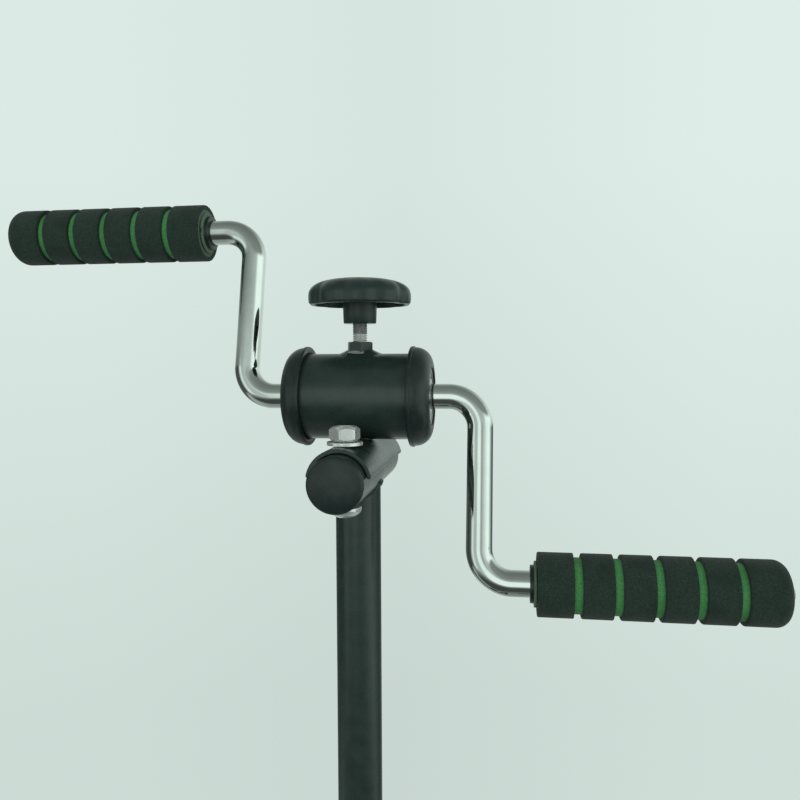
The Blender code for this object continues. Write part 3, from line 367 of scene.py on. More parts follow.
def ground_steel():
    """Ground bearing steel with a thin film of oil."""
    colour = settings().colours.bearing_steel
    finish = Finish("ground_bearing_steel", colour, 0.2, 1.0)
    finish.tint(finish.noise(3 * MM, 3), lighter(colour, 0.8), 0.4, 0.8)
    finish.rough(finish.noise(2 * MM, 4), 0.14, 0.3)
    return finish.bump(finish.noise(0.2 * MM, 3, where=finish.stretched((0.1, 1, 1))), 0.004 * MM)


def cellular_foam(name, colour, pale):
    """Closed-cell foam: burst cells, a soft nap and uneven colour."""
    finish = Finish(name, colour, 0.88, sheen_weight=0.06, sheen_roughness=0.5, specular_ior_level=0.25)
    finish.tint(finish.noise(0.9 * MM, 5, 0.7), pale, 0.42, 0.72)
    finish.tint(finish.noise(17 * MM, 3), lighter(colour, 0.8), 0.5, 0.8)
    finish.rough(finish.noise(4 * MM, 3), 0.8, 0.95)
    finish.bump(finish.cells(0.75 * MM), 0.16 * MM, 0.8)
    finish.bump(finish.noise(0.4 * MM, 4, 0.7), 0.12 * MM, 0.8)
    return finish.bump(finish.noise(7 * MM, 2), 0.25 * MM, 0.7)


def black_foam():
    """The grips' outer foam."""
    colour = settings().colours.foam_black
    return cellular_foam("black_grip_foam", colour, lighter(colour, 1.8, 0.006))


def green_foam():
    """The grips' core foam, with its skin on."""
    colour = settings().colours.foam_green
    return cellular_foam("green_core_foam", colour, lighter(colour, 1.5, 0.01))


def pale_core_foam():
    """The cut end of the core foam, paler and greyer than its skin; on the sleeves' flange rims the same colour is
    painted light.
    """
    colour = settings().colours.foam_end
    return cellular_foam("pale_core_foam", colour, lighter(colour, 1.25, 0.01))


def moulded_rubber():
    """Matt black rubber with a bloom of dust and a coarse mould texture."""
    colour = settings().colours.rubber
    finish = Finish("black_rubber", colour, 0.72)
    finish.tint(finish.noise(8 * MM, 5), lighter(colour, 1.6, 0.006), 0.4, 0.8)
    finish.rough(finish.noise(6 * MM, 4), 0.6, 0.82)
    finish.bump(finish.cells(1.1 * MM), 0.05 * MM)
    return finish.bump(finish.noise(0.5 * MM, 3), 0.03 * MM)


def brake_felt():
    """Dense felt: matted fibres in two browns."""
    colour = settings().colours.felt
    finish = Finish("brake_felt", colour, 0.95, sheen_weight=0.3)
    finish.tint(finish.noise(0.8 * MM, 6, 0.8, finish.stretched((1, 0.3, 1))), lighter(colour, 1.7))
    return finish.bump(finish.noise(0.6 * MM, 6, 0.8), 0.2 * MM)


MAKERS = {
    "satin_black_paint": powder_coat,
    "black_plastic": moulded_plastic,
    "glossy_plastic": knob_plastic,
    "chrome_bar": chrome_plate,
    "zinc_plate": zinc_plate,
    "painted_shade_thread": painted_shade_thread,
    "bearing_steel": ground_steel,
    "grip_foam": black_foam,
    "rubber_cap": moulded_rubber,
    "strap_rubber": moulded_rubber,
    "brake_felt": brake_felt,
    "green_core": green_foam,
    "core_end_and_painted_light": pale_core_foam,
}


def finish_for(slot):
    """The material of a record slot, made once."""
    if slot not in FINISHES:
        FINISHES[slot] = MAKERS[slot]().material
    return FINISHES[slot]


# Shapes

def rounded(points):
    """Points (a, b) or (a, b, radius): a corner that carries a radius becomes an arc of about that size."""
    result = []
    last = len(points) - 1
    for i, point in enumerate(points):
        here = Vector(point[:2])
        if len(point) == 2 or i in (0, last):
            result.append(tuple(here))
            continue
        before = Vector(points[i - 1][:2]) - here
        after = Vector(points[i + 1][:2]) - here
        reach = min(point[2], before.length * 0.48, after.length * 0.48)
        start = here + before.normalized() * reach
        end = here + after.normalized() * reach
        steps = 5
        for k in range(steps + 1):
            t = k / steps
            result.append(tuple(start * (1 - t) ** 2 + here * 2 * t * (1 - t) + end * t ** 2))
    return result


def arc_points(centre, radius, start, end, steps):
    """Points of an arc in a plane, angles in degrees."""
    points = []
    for i in range(steps + 1):
        angle = math.radians(start + (end - start) * i / steps)
        points.append((centre[0] + radius * math.cos(angle), centre[1] + radius * math.sin(angle)))
    return points


def dome_points(inner, outer, top, foot, steps):
    """Profile points of a dome: a quarter of an ellipse from (inner, top) out to (outer, foot)."""
    points = []
    for i in range(steps + 1):
        angle = math.pi / 2 * i / steps
        points.append((inner + (outer - inner) * math.sin(angle), foot + (top - foot) * math.cos(angle)))
    return points


def along(axis, origin):
    """The placing of a piece whose local Z points along an axis."""
    turn = Z_AXIS.rotation_difference(axis).to_matrix().to_4x4()
    return Matrix.Translation(origin) @ turn


def facing_out(origin):
    """The placing of a slab across X, whose outline stands upright with its local X along Y."""
    quarter = math.pi / 2
    return Matrix.Translation(origin) @ Matrix.Rotation(quarter, 4, "Z") @ Matrix.Rotation(quarter, 4, "X")


def mesh_object(name, bm, sharp=32):
    """An object from a bmesh, smooth shaded but for its real edges."""
    bmesh.ops.recalc_face_normals(bm, faces=bm.faces)
    mesh = bpy.data.meshes.new(name)
    bm.to_mesh(mesh)
    bm.free()
    mesh.shade_smooth()
    mesh.set_sharp_from_angle(angle=math.radians(sharp))
    obj = bpy.data.objects.new(name, mesh)
    bpy.context.scene.collection.objects.link(obj)
    return obj


def bridge(bm, upper, lower):
    """Faces between two rings of points, either of which may be a single point."""
    count = max(len(upper), len(lower))
    for i in range(count):
        j = (i + 1) % count
        corners = [upper[i % len(upper)], lower[i % len(lower)], lower[j % len(lower)], upper[j % len(upper)]]
        face = []
        for corner in corners:
            if corner not in face:
                face.append(corner)
        bm.faces.new(face)


def ring_at(bm, radius, height, sides):
    """A ring of points about local Z, or one point on it."""
    if radius < TINY:
        return [bm.verts.new((0, 0, height))]
    ring = []
    for i in range(sides):
        angle = 2 * math.pi * i / sides
        ring.append(bm.verts.new((radius * math.cos(angle), radius * math.sin(angle), height)))
    return ring


def turned(name, profile, placing, sides=None):
    """A turned piece from (radius, height, edge radius) points, closed on itself unless it meets the axis."""
    sides = sides or settings().sizes.round_sides
    bm = bmesh.new()
    rings = [ring_at(bm, radius, height, sides) for radius, height in rounded(profile)]
    pairs = list(zip(rings, rings[1:]))
    if profile[0][0] > TINY:
        pairs.append((rings[-1], rings[0]))
    for upper, lower in pairs:
        bridge(bm, upper, lower)
    obj = mesh_object(name, bm)
    obj.matrix_world = placing
    return obj


def pipe(name, radius, bore, bottom, top, placing, edge=0.3 * MM):
    """A plain tube on local Z with softened ends."""
    middle = (bottom + top) / 2
    profile = [(radius, middle), (radius, top, edge), (bore, top, edge), (bore, bottom, edge),
               (radius, bottom, edge)]
    return turned(name, profile, placing)


def swept(name, points, radii, sides):
    """A round bar through points, with a radius for each point and closed ends."""
    bm = bmesh.new()
    rings = []
    tangents = []
    last = len(points) - 1
    for i in range(len(points)):
        tangents.append((points[min(i + 1, last)] - points[max(i - 1, 0)]).normalized())
    side = tangents[0].orthogonal().normalized()
    for i, point in enumerate(points):
        if i:
            side = tangents[i - 1].rotation_difference(tangents[i]) @ side
        up = tangents[i].cross(side)
        ring = []
        for k in range(sides):
            angle = 2 * math.pi * k / sides
            ring.append(bm.verts.new(point + (side * math.cos(angle) + up * math.sin(angle)) * radii[i]))
        rings.append(ring)
    closed = (points[0] - points[-1]).length < TINY
    if closed:
        for vert in rings.pop():
            bm.verts.remove(vert)
        bridge(bm, rings[-1], rings[0])
    else:
        bm.faces.new(rings[0])
        bm.faces.new(rings[-1])
    for upper, lower in zip(rings, rings[1:]):
        bridge(bm, upper, lower)
    return mesh_object(name, bm)


def slab(name, outline, thickness, placing):
    """A flat outline in local XY, extruded both ways from its plane."""
    bm = bmesh.new()
    low = [bm.verts.new((x, y, -thickness / 2)) for x, y in outline]
    high = [bm.verts.new((x, y, thickness / 2)) for x, y in outline]
    bm.faces.new(low)
    bm.faces.new(high)
    bridge(bm, high, low)
    obj = mesh_object(name, bm)
    obj.matrix_world = placing
    return obj


def soften(obj, width, segments=3, angle=35):
    """Round the edges of a piece."""
    bevel = obj.modifiers.new("soft_edges", "BEVEL")
    bevel.width = width
    bevel.segments = segments
    bevel.limit_method = "ANGLE"
    bevel.angle_limit = math.radians(angle)
    bevel.harden_normals = True
    return obj


def carve(obj, cutters):
    """Cut shapes out of a piece and drop them."""
    for cutter in cutters:
        boolean = obj.modifiers.new("carved", "BOOLEAN")
        boolean.operation = "DIFFERENCE"
        boolean.solver = "EXACT"
        boolean.object = cutter
    return settle(obj, cutters)


def settle(obj, helpers=()):
    """Make a piece's modifiers part of its mesh and remove the shapes that they used."""
    bpy.context.view_layer.update()
    graph = bpy.context.evaluated_depsgraph_get()
    mesh = bpy.data.meshes.new_from_object(obj.evaluated_get(graph))
    obj.modifiers.clear()
    obj.data = mesh
    for helper in helpers:
        bpy.data.objects.remove(helper, do_unlink=True)
    return obj


def joined(name, pieces):
    """Several meshes as one piece, in the space of the first."""
    bm = bmesh.new()
    base = pieces[0].matrix_world.copy()
    bpy.context.view_layer.update()
    for piece in pieces:
        mesh = piece.data.copy()
        mesh.transform(base.inverted() @ piece.matrix_world)
        bm.from_mesh(mesh)
        bpy.data.meshes.remove(mesh)
    for piece in pieces:
        bpy.data.objects.remove(piece, do_unlink=True)
    obj = mesh_object(name, bm)
    obj.matrix_world = base
    return obj


def dress(obj, node, slot=None):
    """Let a piece stand for a frame node: its body, its record slot and its finish."""
    finish = slot or SLOT_OF[node]
    obj.data.materials.clear()
    obj.data.materials.append(finish_for(finish))
    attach(obj, BODY_OF[node])
    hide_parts(node)
    return obj


def repaint(obj, finish, choose):
    """Give a second finish to the faces that a test picks."""
    obj.data.materials.append(finish_for(finish))
    for face in obj.data.polygons:
        if choose(face):
            face.material_index = len(obj.data.materials) - 1


def trim(obj, body, slot):
    """A piece of trim that no frame node has, such as a weld."""
    obj.data.materials.clear()
    obj.data.materials.append(finish_for(slot))
    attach(obj, body)
    return obj


def extent(node):
    """A node's middle and half sizes at rest."""
    low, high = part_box(node)
    return (low + high) / 2, (high - low) / 2


def side_ends(node):
    """How far from the machine's middle a piece on its left or right starts and ends."""
    low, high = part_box(node)
    return min(abs(low.x), abs(high.x)), max(abs(low.x), abs(high.x))


def dressed_name(node):
    """The name of the piece that stands for a node."""
    return node + "_dressed"


# Frame tubes

def radius_across(node, axis):
    """Half of a tube's width across its axis."""
    half = extent(node)[1]
    return min(half[i] for i in range(3) if abs(axis[i]) < 0.5)


def cutting_rod(radius, start, end, axis, origin, sides=None):
    """A rod to cut with, between two places on an axis through a point."""
    profile = [(0, start), (radius, start), (radius, end), (0, end)]
    return turned("cutting_rod", profile, along(axis, origin), sides)


def seat_cutter(node, axis):
    """A rod a little thicker than a tube, which notches another tube to sit on it."""
    middle, half = extent(node)
    reach = abs(half.dot(axis)) + 40 * MM
    return cutting_rod(radius_across(node, axis) + settings().sizes.seat_gap, -reach, reach, axis, middle)


def straight_tube(node, axis, wall, cutters=()):
    """A plain tube in a node's place, between the ends of its box, with notches and holes cut out."""
    middle, half = extent(node)
    radius = radius_across(node, axis)
    reach = abs(half.dot(axis))
    obj = pipe(dressed_name(node), radius, radius - wall, -reach, reach, along(axis, middle))
    if cutters:
        carve(obj, cutters)
        obj.data.set_sharp_from_angle(angle=math.radians(32))
    return dress(obj, node)


def saddle_curve(post_radius, run_radius, sides=72):
    """Where an upright tube on local Z meets a level tube along local Y, round its upper side."""
    points = []
    for i in range(sides + 1):
        angle = 2 * math.pi * i / sides
        x = post_radius * math.cos(angle)
        rise = math.sqrt(max(run_radius ** 2 - x ** 2, 0))
        points.append(Vector((x, post_radius * math.sin(angle), rise)))
    return points


def weld(name, route, body, placing, scale=1.0):
    """A rippled weld bead along a route."""
    sizes = settings().sizes
    fine = []
    for a, b in zip(route, route[1:]):
        steps = max(1, round((b - a).length / (sizes.weld_pitch / 4)))
        for k in range(steps):
            fine.append(a.lerp(b, k / steps))
    fine.append(route[-1].copy())
    radii = []
    for i in range(len(fine)):
        ripple = 1 + 0.10 * math.sin(math.pi * i / 2) + 0.08 * math.sin(i * 0.37)
        radii.append(sizes.weld_bead * scale * ripple)
    radii[-1] = radii[0]
    obj = swept(name, fine, radii, 10)
    obj.matrix_world = placing
    return trim(obj, body, "satin_black_paint")


def frame_tubes():
    """Foot tubes, beam, lower post and their welds."""
    sizes = settings().sizes
    wall = sizes.frame_wall
    for node in ("front_foot_tube", "rear_foot_tube"):
        straight_tube(node, X_AXIS, wall)
    feet = [seat_cutter(node, X_AXIS) for node in ("front_foot_tube", "rear_foot_tube")]
    straight_tube("base_beam", Y_AXIS, wall, feet)
    beam_middle, beam_half = extent("base_beam")
    post_middle, post_half = extent("lower_post")
    radius = post_half.x
    post_foot = Vector((post_middle.x, post_middle.y, beam_middle.z))
    clamp = Vector((post_middle.x, post_middle.y, JOINT_AT["clamp_screw_turn"].z))
    clamp_hole = cutting_rod(sizes.stud_hole, 0, 2 * radius, -Y_AXIS, clamp)
    straight_tube("lower_post", Z_AXIS, wall, [seat_cutter("base_beam", Y_AXIS), clamp_hole])
    weld("post_foot_weld", saddle_curve(radius, beam_half.x), "frame", along(Z_AXIS, post_foot))
    for node, facing in (("front_foot_tube", 1), ("rear_foot_tube", -1)):
        middle, half = extent(node)
        # The beam runs level into the foot tube, so the seam's upright is turned onto Y
        turn = Matrix.Rotation(-facing * math.pi / 2, 4, "X") @ Matrix.Rotation(math.pi / 2, 4, "Z")
        seam = saddle_curve(beam_half.x, half.y)
        weld(node + "_weld", seam, "frame", Matrix.Translation(middle) @ turn)


def post_and_bushing():
    """The sliding post and the collar that guides it."""
    sizes = settings().sizes
    straight_tube("upper_post", Z_AXIS, sizes.post_wall, [seat_cutter("arm_head_tube", Y_AXIS)])
    middle, half = extent("post_bushing")
    post_radius = extent("upper_post")[1].x
    sleeve = extent("lower_post")[1].x - 2.1 * MM
    top = half.z
    collar = sizes.collar_height
    gap = 0.2 * MM
    profile = [(half.x, top - collar / 2), (half.x, top, 1.2 * MM), (post_radius + gap, top, 0.4 * MM),
               (post_radius + gap, -top), (sleeve, -top), (sleeve, top - collar + gap),
               (half.x, top - collar + gap, 0.3 * MM)]
    obj = turned(dressed_name("post_bushing"), profile, along(Z_AXIS, middle))
    dress(obj, "post_bushing")


def foot_caps():
    """The four end caps: moulded cups with flat pads."""
    end_wall = 4 * MM
    side_wall = 2.6 * MM
    for row in ("front", "rear"):
        for side_name, side in SIDES:
            node = row + "_" + side_name + "_foot_cap"
            middle, half = extent(node)
            radius = half.y
            pad = settings().sizes.foot_pad
            axle = half.z * 2 - radius
            outline = [(-pad, 0), (pad, 0)]
            outline += arc_points((0, axle), radius, -20, 200, 40)
            placing = facing_out(Vector((middle.x, middle.y, 0)))
            cap = soften(slab(dressed_name(node), outline, half.x * 2, placing), 1.6 * MM)
            mouth = Vector((middle.x - side * end_wall, middle.y, axle))
            carve(cap, [cutting_rod(radius - side_wall, half.x, -half.x, X_AXIS, mouth)])
            dress(cap, node)


# Hub units

def hub_axle(prefix):
    """The middle of a hub, where its crank turns."""
    return JOINT_AT[prefix + "_crank_turn"]


def hub_housing(prefix):
    """A hub's tube, with the hole that the tension stud passes."""
    node = prefix + "_hub_tube"
    middle, half = extent(node)
    sizes = settings().sizes
    stud_hole = cutting_rod(sizes.stud_hole, 0, 2 * half.z, Z_AXIS, middle)
    straight_tube(node, X_AXIS, sizes.hub_wall, [stud_hole])


def hub_cap(prefix, side_name, side):
    """A domed cap with a stepped, rolled lip, a shadow groove behind it and a bore round the bearing."""
    sizes = settings().sizes
    node = prefix + "_" + side_name + "_cap"
    axle = hub_axle(prefix)
    lip = extent(node)[1].z
    face = side_ends(node)[1]
    edge = sizes.cap_edge
    tube = extent(prefix + "_hub_tube")[1]
    groove = tube.z + 0.1 * MM
    groove_end = tube.x + 0.3 * MM
    bore = extent(prefix + "_" + side_name + "_bearing")[1].z
    dome = lip - sizes.cap_step
    shoulder = edge + sizes.cap_lip
    profile = [(bore, (face + groove_end) / 2), (bore, face, 0.4 * MM)]
    profile += dome_points(sizes.cap_flat, dome, face, shoulder, 16)
    profile += [(dome, shoulder - 0.3 * MM, 0.2 * MM), (lip, shoulder - 0.5 * MM, 0.5 * MM),
                (lip, edge, sizes.cap_roll), (groove + 0.9 * MM, edge, 0.6 * MM),
                (groove, edge + 0.9 * MM, 0.2 * MM), (groove, groove_end), (bore, groove_end)]
    obj = turned(dressed_name(node), profile, along(X_AXIS * side, axle))
    dress(obj, node)


def bearing(prefix, side_name, side):
    """A shielded bearing: ground rings with rounded lips, a sunk pressed shield and the gap round it."""
    node = prefix + "_" + side_name + "_bearing"
    axle = hub_axle(prefix)
    outer = extent(node)[1].z
    back, front = side_ends(node)
    bore = settings().sizes.rod_radius + settings().sizes.rod_gap
    inner_ring = bore + 2.4 * MM
    outer_ring = outer - 2.5 * MM
    shield = front - 0.7 * MM
    edge = 0.5 * MM
    profile = [(bore, (front + back) / 2), (bore, front, edge), (inner_ring, front, 0.2 * MM),
               (inner_ring, shield - 0.5 * MM), (inner_ring + 0.5 * MM, shield - 0.5 * MM),
               (inner_ring + 0.5 * MM, shield, 0.2 * MM), (outer_ring - 1.2 * MM, shield, 0.2 * MM),
               (outer_ring - 0.6 * MM, shield + 0.25 * MM, 0.2 * MM), (outer_ring, shield + 0.1 * MM),
               (outer_ring, front, 0.2 * MM), (outer, front, edge), (outer, back, edge), (bore, back, edge)]
    obj = turned(dressed_name(node), profile, along(X_AXIS * side, axle))
    dress(obj, node)


def hex_outline(across):
    """A hexagon's corners, from its width across the flats."""
    radius = across / math.sqrt(3)
    points = []
    for i in range(6):
        angle = math.pi * i / 3
        points.append((radius * math.cos(angle), radius * math.sin(angle)))
    return points


def hex_body(name, across, bottom, top, placing, turn=0.0, seat=0.97, chamfer=30):
    """A hexagon nut on local Z, bored for an M8 screw, its corners turned off to a cone at both ends.

    The cone starts at seat, a share of the flats' distance, and falls by chamfer, in degrees.
    """
    flat = across / 2
    corner = across / math.sqrt(3) - 0.15 * MM
    bore = settings().sizes.stud_hole
    lead = 0.4 * MM
    slope = math.tan(math.radians(chamfer))
    per_face = 12
    angles = [math.pi / 3 * i / per_face for i in range(6 * per_face)]
    outline = [min(corner, flat / math.cos(angle % (math.pi / 3) - math.pi / 6)) for angle in angles]
    drops = [(reach - flat * seat) * slope for reach in outline]
    plain = [1] * len(angles)
    level = [0] * len(angles)
    bm = bmesh.new()
    rings = []
    for reaches, scale, height, falls in (
            (plain, bore, top - lead, level), (plain, bore + lead, top, level),
            (plain, flat * seat, top, level), (outline, 1, top, [-fall for fall in drops]),
            (outline, 1, bottom, drops), (plain, flat * seat, bottom, level), (plain, bore, bottom, level)):
        ring = []
        for angle, reach, fall in zip(angles, reaches, falls):
            radius = reach * scale
            ring.append(bm.verts.new((radius * math.cos(angle + turn), radius * math.sin(angle + turn),
                                      height + fall)))
        rings.append(ring)
    for upper, lower in zip(rings, rings[1:] + rings[:1]):
        bridge(bm, upper, lower)
    obj = mesh_object(name, bm)
    obj.matrix_world = placing
    return obj


def painted_glint_patch(face):
    """Whether a face lies in a small patch low before the nut that gets bright zinc as a painted glint."""
    inner = 6.5 * MM
    outer = 8.6 * MM
    left_of_middle = 1.2 * MM
    half_angle = 34
    place = face.center
    turn = math.degrees(math.atan2(place.x + left_of_middle, -place.y))
    return inner < place.xy.length < outer and abs(turn) < half_angle


def weld_nut(node, axis, origin, tube_radius, reach):
    """A hexagon weld nut standing on a tube, with a bead and a smear of weld round its foot."""
    placing = along(axis, origin)
    across = settings().sizes.weld_nut_width
    nut = hex_body("nut", across, tube_radius - 1 * MM, reach, placing, turn=math.radians(-12))
    skirt = weld_skirt("skirt", tube_radius)
    skirt.matrix_world = placing
    obj = joined(dressed_name(node), [nut, skirt])
    dress(obj, node)
    # A small patch of the weld before the nut's foot gets bright zinc as a painted glint
    repaint(obj, "zinc_plate", lambda face: face.center.z < tube_radius + 2.2 * MM and painted_glint_patch(face))


def weld_skirt(name, tube_radius):
    """The weld's fillet from the nut's foot down to the tube's surface, lumpy all round."""
    inner = 6.2 * MM
    outer = 12 * MM
    rise = 2.6 * MM
    depth = 1.2 * MM
    sides = 96
    rows = 9
    bm = bmesh.new()
    grid = []
    for row in range(rows):
        share = row / (rows - 1)
        ring = []
        for i in range(sides):
            angle = 2 * math.pi * i / sides
            lump = 1 + 0.03 * math.sin(3 * angle + 0.6) + 0.02 * math.sin(14 * angle) * share
            radius = inner + (outer * lump - inner) * share
            across = radius * math.sin(angle)
            surface = math.sqrt(max(tube_radius ** 2 - across ** 2, 0))
            height = surface + rise * (1 - share) ** 1.15 * lump - 0.15 * MM * share
            ring.append(bm.verts.new((radius * math.cos(angle), across, height)))
        grid.append(ring)
    floor = []
    for vert in grid[-1]:
        floor.append(bm.verts.new((vert.co.x * 0.97, vert.co.y * 0.97, vert.co.z - depth)))
    inner_floor = []
    for vert in grid[0]:
        inner_floor.append(bm.verts.new((vert.co.x, vert.co.y, vert.co.z - rise - depth)))
    grid += [floor, inner_floor, grid[0]]
    for upper, lower in zip(grid, grid[1:]):
        bridge(bm, upper, lower)
    return mesh_object(name, bm)


def saddle_outline(inner, outer, wrap, steps=48):
    """The saddle's bent section, its tips rounded off."""
    middle_radius = (inner + outer) / 2
    tip = (outer - inner) / 2
    start = 90 - wrap / 2
    end = 90 + wrap / 2
    points = arc_points((0, 0), outer, start, end, steps)
    centre = (middle_radius * math.cos(math.radians(end)), middle_radius * math.sin(math.radians(end)))
    points += arc_points(centre, tip, end, end + 180, 8)[1:-1]
    points += arc_points((0, 0), inner, end, start, steps)
    centre = (middle_radius * math.cos(math.radians(start)), middle_radius * math.sin(math.radians(start)))
    points += arc_points(centre, tip, start + 180, start + 360, 8)[1:-1]
    return points


def bolt_hole(prefix):
    """A rod that cuts the saddle bolt's hole."""
    middle, half = extent(prefix + "_saddle_bolt")
    return cutting_rod(settings().sizes.stud_hole, -half.z, half.z, Z_AXIS, middle)


def hub_saddle(prefix):
    """The bent plate under a hub and the welds that hold it."""
    sizes = settings().sizes
    node = prefix + "_saddle"
    middle, half = extent(node)
    axle = hub_axle(prefix)
    drop = extent(prefix + "_front_plug")[0].z
    outer = middle.z + half.z - drop
    placing = Matrix.Translation((middle.x, middle.y, drop)) @ Matrix.Rotation(math.pi / 2, 4, "X")
    outline = saddle_outline(outer - sizes.saddle_plate, outer, math.degrees(sizes.saddle_wrap))
    plate = soften(slab(dressed_name(node), outline, half.y * 2, placing), 0.5 * MM, 2)
    radius = extent(prefix + "_hub_tube")[1].z
    carve(plate, [cutting_rod(radius, -40 * MM, 40 * MM, X_AXIS, axle), bolt_hole(prefix)])
    dress(plate, node)
    seam_half = math.sqrt(radius ** 2 - (axle.z - drop - outer) ** 2)
    sweep = 112
    steps = 24
    for name, facing in (("front", -1), ("rear", 1)):
        route = []
        for i in range(steps + 1):
            angle = math.radians(90 + sweep * (i / steps - 0.5))
            across = outer * math.cos(angle)
            height = drop + outer * math.sin(angle)
            depth = math.sqrt(max(radius ** 2 - (axle.z - height) ** 2, 0))
            if depth > seam_half * 0.2:
                route.append(Vector((across, axle.y + facing * depth, height)))
        weld(prefix + "_saddle_" + name + "_weld", route, BODY_OF[node], Matrix.Identity(4), scale=0.8)


def head_tube(prefix):
    """The short tube under a hub and its plugs."""
    node = prefix + "_head_tube"
    radius = extent(node)[1].x
    cutters = [seat_cutter(prefix + "_hub_tube", X_AXIS), bolt_hole(prefix)]
    if prefix == "leg":
        cutters.append(seat_cutter("lower_post", Z_AXIS))
    straight_tube(node, Y_AXIS, settings().sizes.frame_wall, cutters)
    for end, facing in (("front", -1), ("rear", 1)):
        plug = prefix + "_" + end + "_plug"
        if plug in BODY_OF:
            tube_plug(plug, facing, radius)


def tube_plug(node, facing, radius):
    """A moulded plug: a low dome with a softened rim and a spigot."""
    low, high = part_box(node)
    middle = (low + high) / 2
    tip = low.y if facing < 0 else high.y
    length = high.y - low.y
    origin = Vector((middle.x, tip, middle.z))
    crown = 1.6 * MM
    flange = 4.0 * MM
    profile = [(0, 0)]
    for i in range(1, 8):
        share = i / 8
        profile.append(((radius - 1.1 * MM) * share, -crown * share ** 2.4))
    profile += [(radius - 0.9 * MM, -crown - 0.1 * MM, 0.6 * MM), (radius, -crown - 1.0 * MM, 0.8 * MM),
                (radius, -flange + 0.2 * MM, 0.3 * MM), (radius - 2 * MM, -flange + 0.2 * MM),
                (radius - 2 * MM, -length, 0.5 * MM), (0, -length)]
    obj = turned(dressed_name(node), profile, along(Y_AXIS * facing, origin))
    dress(obj, node)


def saddle_fixings(prefix):
    """The carriage bolt, the washer and the nut."""
    sizes = settings().sizes
    node = prefix + "_saddle_nut"
    low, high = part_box(node)
    middle = (low + high) / 2
    base = Vector((middle.x, middle.y, low.z))
    height = high.z - low.z
    nut = hex_body(dressed_name(node), sizes.saddle_nut_width, 0, height, along(Z_AXIS, base),
                   turn=math.radians(22), seat=0.86, chamfer=38)
    dress(nut, node)
    bolt_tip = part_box(prefix + "_saddle_bolt")[1].z
    bolt_end = threaded(prefix + "_saddle_bolt_end", base.z - 1 * MM, bolt_tip, Vector((base.x, base.y, 0)))
    trim(bolt_end, BODY_OF[node], "zinc_plate")
    washer = prefix + "_saddle_washer"
    if washer in BODY_OF:
        middle, half = extent(washer)
        dress(pipe(dressed_name(washer), half.x, 4.2 * MM, -half.z, half.z, along(Z_AXIS, middle), 0.35 * MM),
              washer)
    carriage_head(prefix + "_saddle_bolt")


def carriage_head(node):
    """A carriage bolt's low dome under the head tube, on its plain shank."""
    low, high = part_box(node)
    middle = (low + high) / 2
    radius = (high.x - low.x) / 2
    rise = 5.8 * MM
    shank = 3.9 * MM
    shank_end = high.z - low.z - 9 * MM
    origin = Vector((middle.x, middle.y, low.z))
    profile = dome_points(0, radius, 0, rise * 0.83, 12)
    profile += [(radius, rise, 0.3 * MM), (shank, rise), (shank, shank_end), (0, shank_end)]
    obj = turned(dressed_name(node), profile, along(Z_AXIS, origin))
    dress(obj, node)


def threaded(name, bottom, top, origin, axis=Z_AXIS):
    """A stretch of M8 bar between two heights on an axis, with its right-hand thread."""
    sizes = settings().sizes
    bm = bmesh.new()
    sides = 48
    rows_per_turn = 8
    lead = 0.8 * MM
    rows = max(4, round((top - bottom) / sizes.thread_pitch * rows_per_turn))
    rings = []
    for row in range(rows + 1):
        height = bottom + (top - bottom) * row / rows
        ends = min(height - bottom, top - height)
        ring = []
        for i in range(sides):
            angle = 2 * math.pi * i / sides
            turn = (height / sizes.thread_pitch - i / sides) % 1
            flank = abs(2 * turn - 1)
            depth = sizes.thread_depth * min(1, max(0, 1.25 * flank - 0.12))
            reach = sizes.stud_radius - depth - max(0, lead - ends) * 0.8
            ring.append(bm.verts.new((reach * math.cos(angle), reach * math.sin(angle), height)))
        rings.append(ring)
    for lower, upper in zip(rings, rings[1:]):
        bridge(bm, upper, lower)
    bm.faces.new(rings[0])
    bm.faces.new(rings[-1])
    obj = mesh_object(name, bm, 50)
    obj.matrix_world = along(axis, origin)
    return obj


def stud(node, axis, painted_shade_from=None):
    """A threaded stud in a node's place, painted dark as shade under its knob from this height on."""
    middle, half = extent(node)
    reach = abs(half.dot(axis))
    obj = dress(threaded(dressed_name(node), -reach, reach, middle, axis), node)
    if painted_shade_from is not None:
        start = painted_shade_from - middle.dot(axis)
        # The thread over this height is darkened as painted shade under the knob
        repaint(obj, "painted_shade_thread", lambda face: face.center.z > start)


def hub_units():
    """Both hubs with all that is fixed to them, and the seams of their head tubes."""
    sizes = settings().sizes
    for prefix in ("arm", "leg"):
        hub_housing(prefix)
        for side_name, side in SIDES:
            hub_cap(prefix, side_name, side)
            bearing(prefix, side_name, side)
        tube_radius = extent(prefix + "_hub_tube")[1].z
        weld_nut(prefix + "_weld_nut", Z_AXIS, hub_axle(prefix), tube_radius, sizes.weld_nut_reach)
        head_tube(prefix)
        hub_saddle(prefix)
        saddle_fixings(prefix)
        knob_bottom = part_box(prefix + "_tension_knob")[0].z
        # The thread just under each tension knob is darkened as painted shade
        stud(prefix + "_tension_stud", Z_AXIS, knob_bottom - sizes.painted_shade_length)
    head_tube_welds()


def head_tube_welds():
    """The seams that hold the arm's head tube to the sliding post and the leg's to the lower post."""
    post_middle, post_half = extent("upper_post")
    tube_middle, tube_half = extent("arm_head_tube")
    seam = saddle_curve(post_half.x, tube_half.x)
    placing = Matrix.Translation((post_middle.x, post_middle.y, tube_middle.z))
    weld("head_tube_weld", seam, "arm_head", placing @ Matrix.Rotation(math.pi, 4, "X"))
    post_middle, post_half = extent("lower_post")
    tube_middle, tube_half = extent("leg_head_tube")
    seam = saddle_curve(tube_half.x, post_half.x)
    placing = Matrix.Translation((0, post_middle.y, tube_middle.z))
    weld("leg_head_weld", seam, "frame", placing @ Matrix.Rotation(math.pi / 2, 4, "X"))


# Knobs

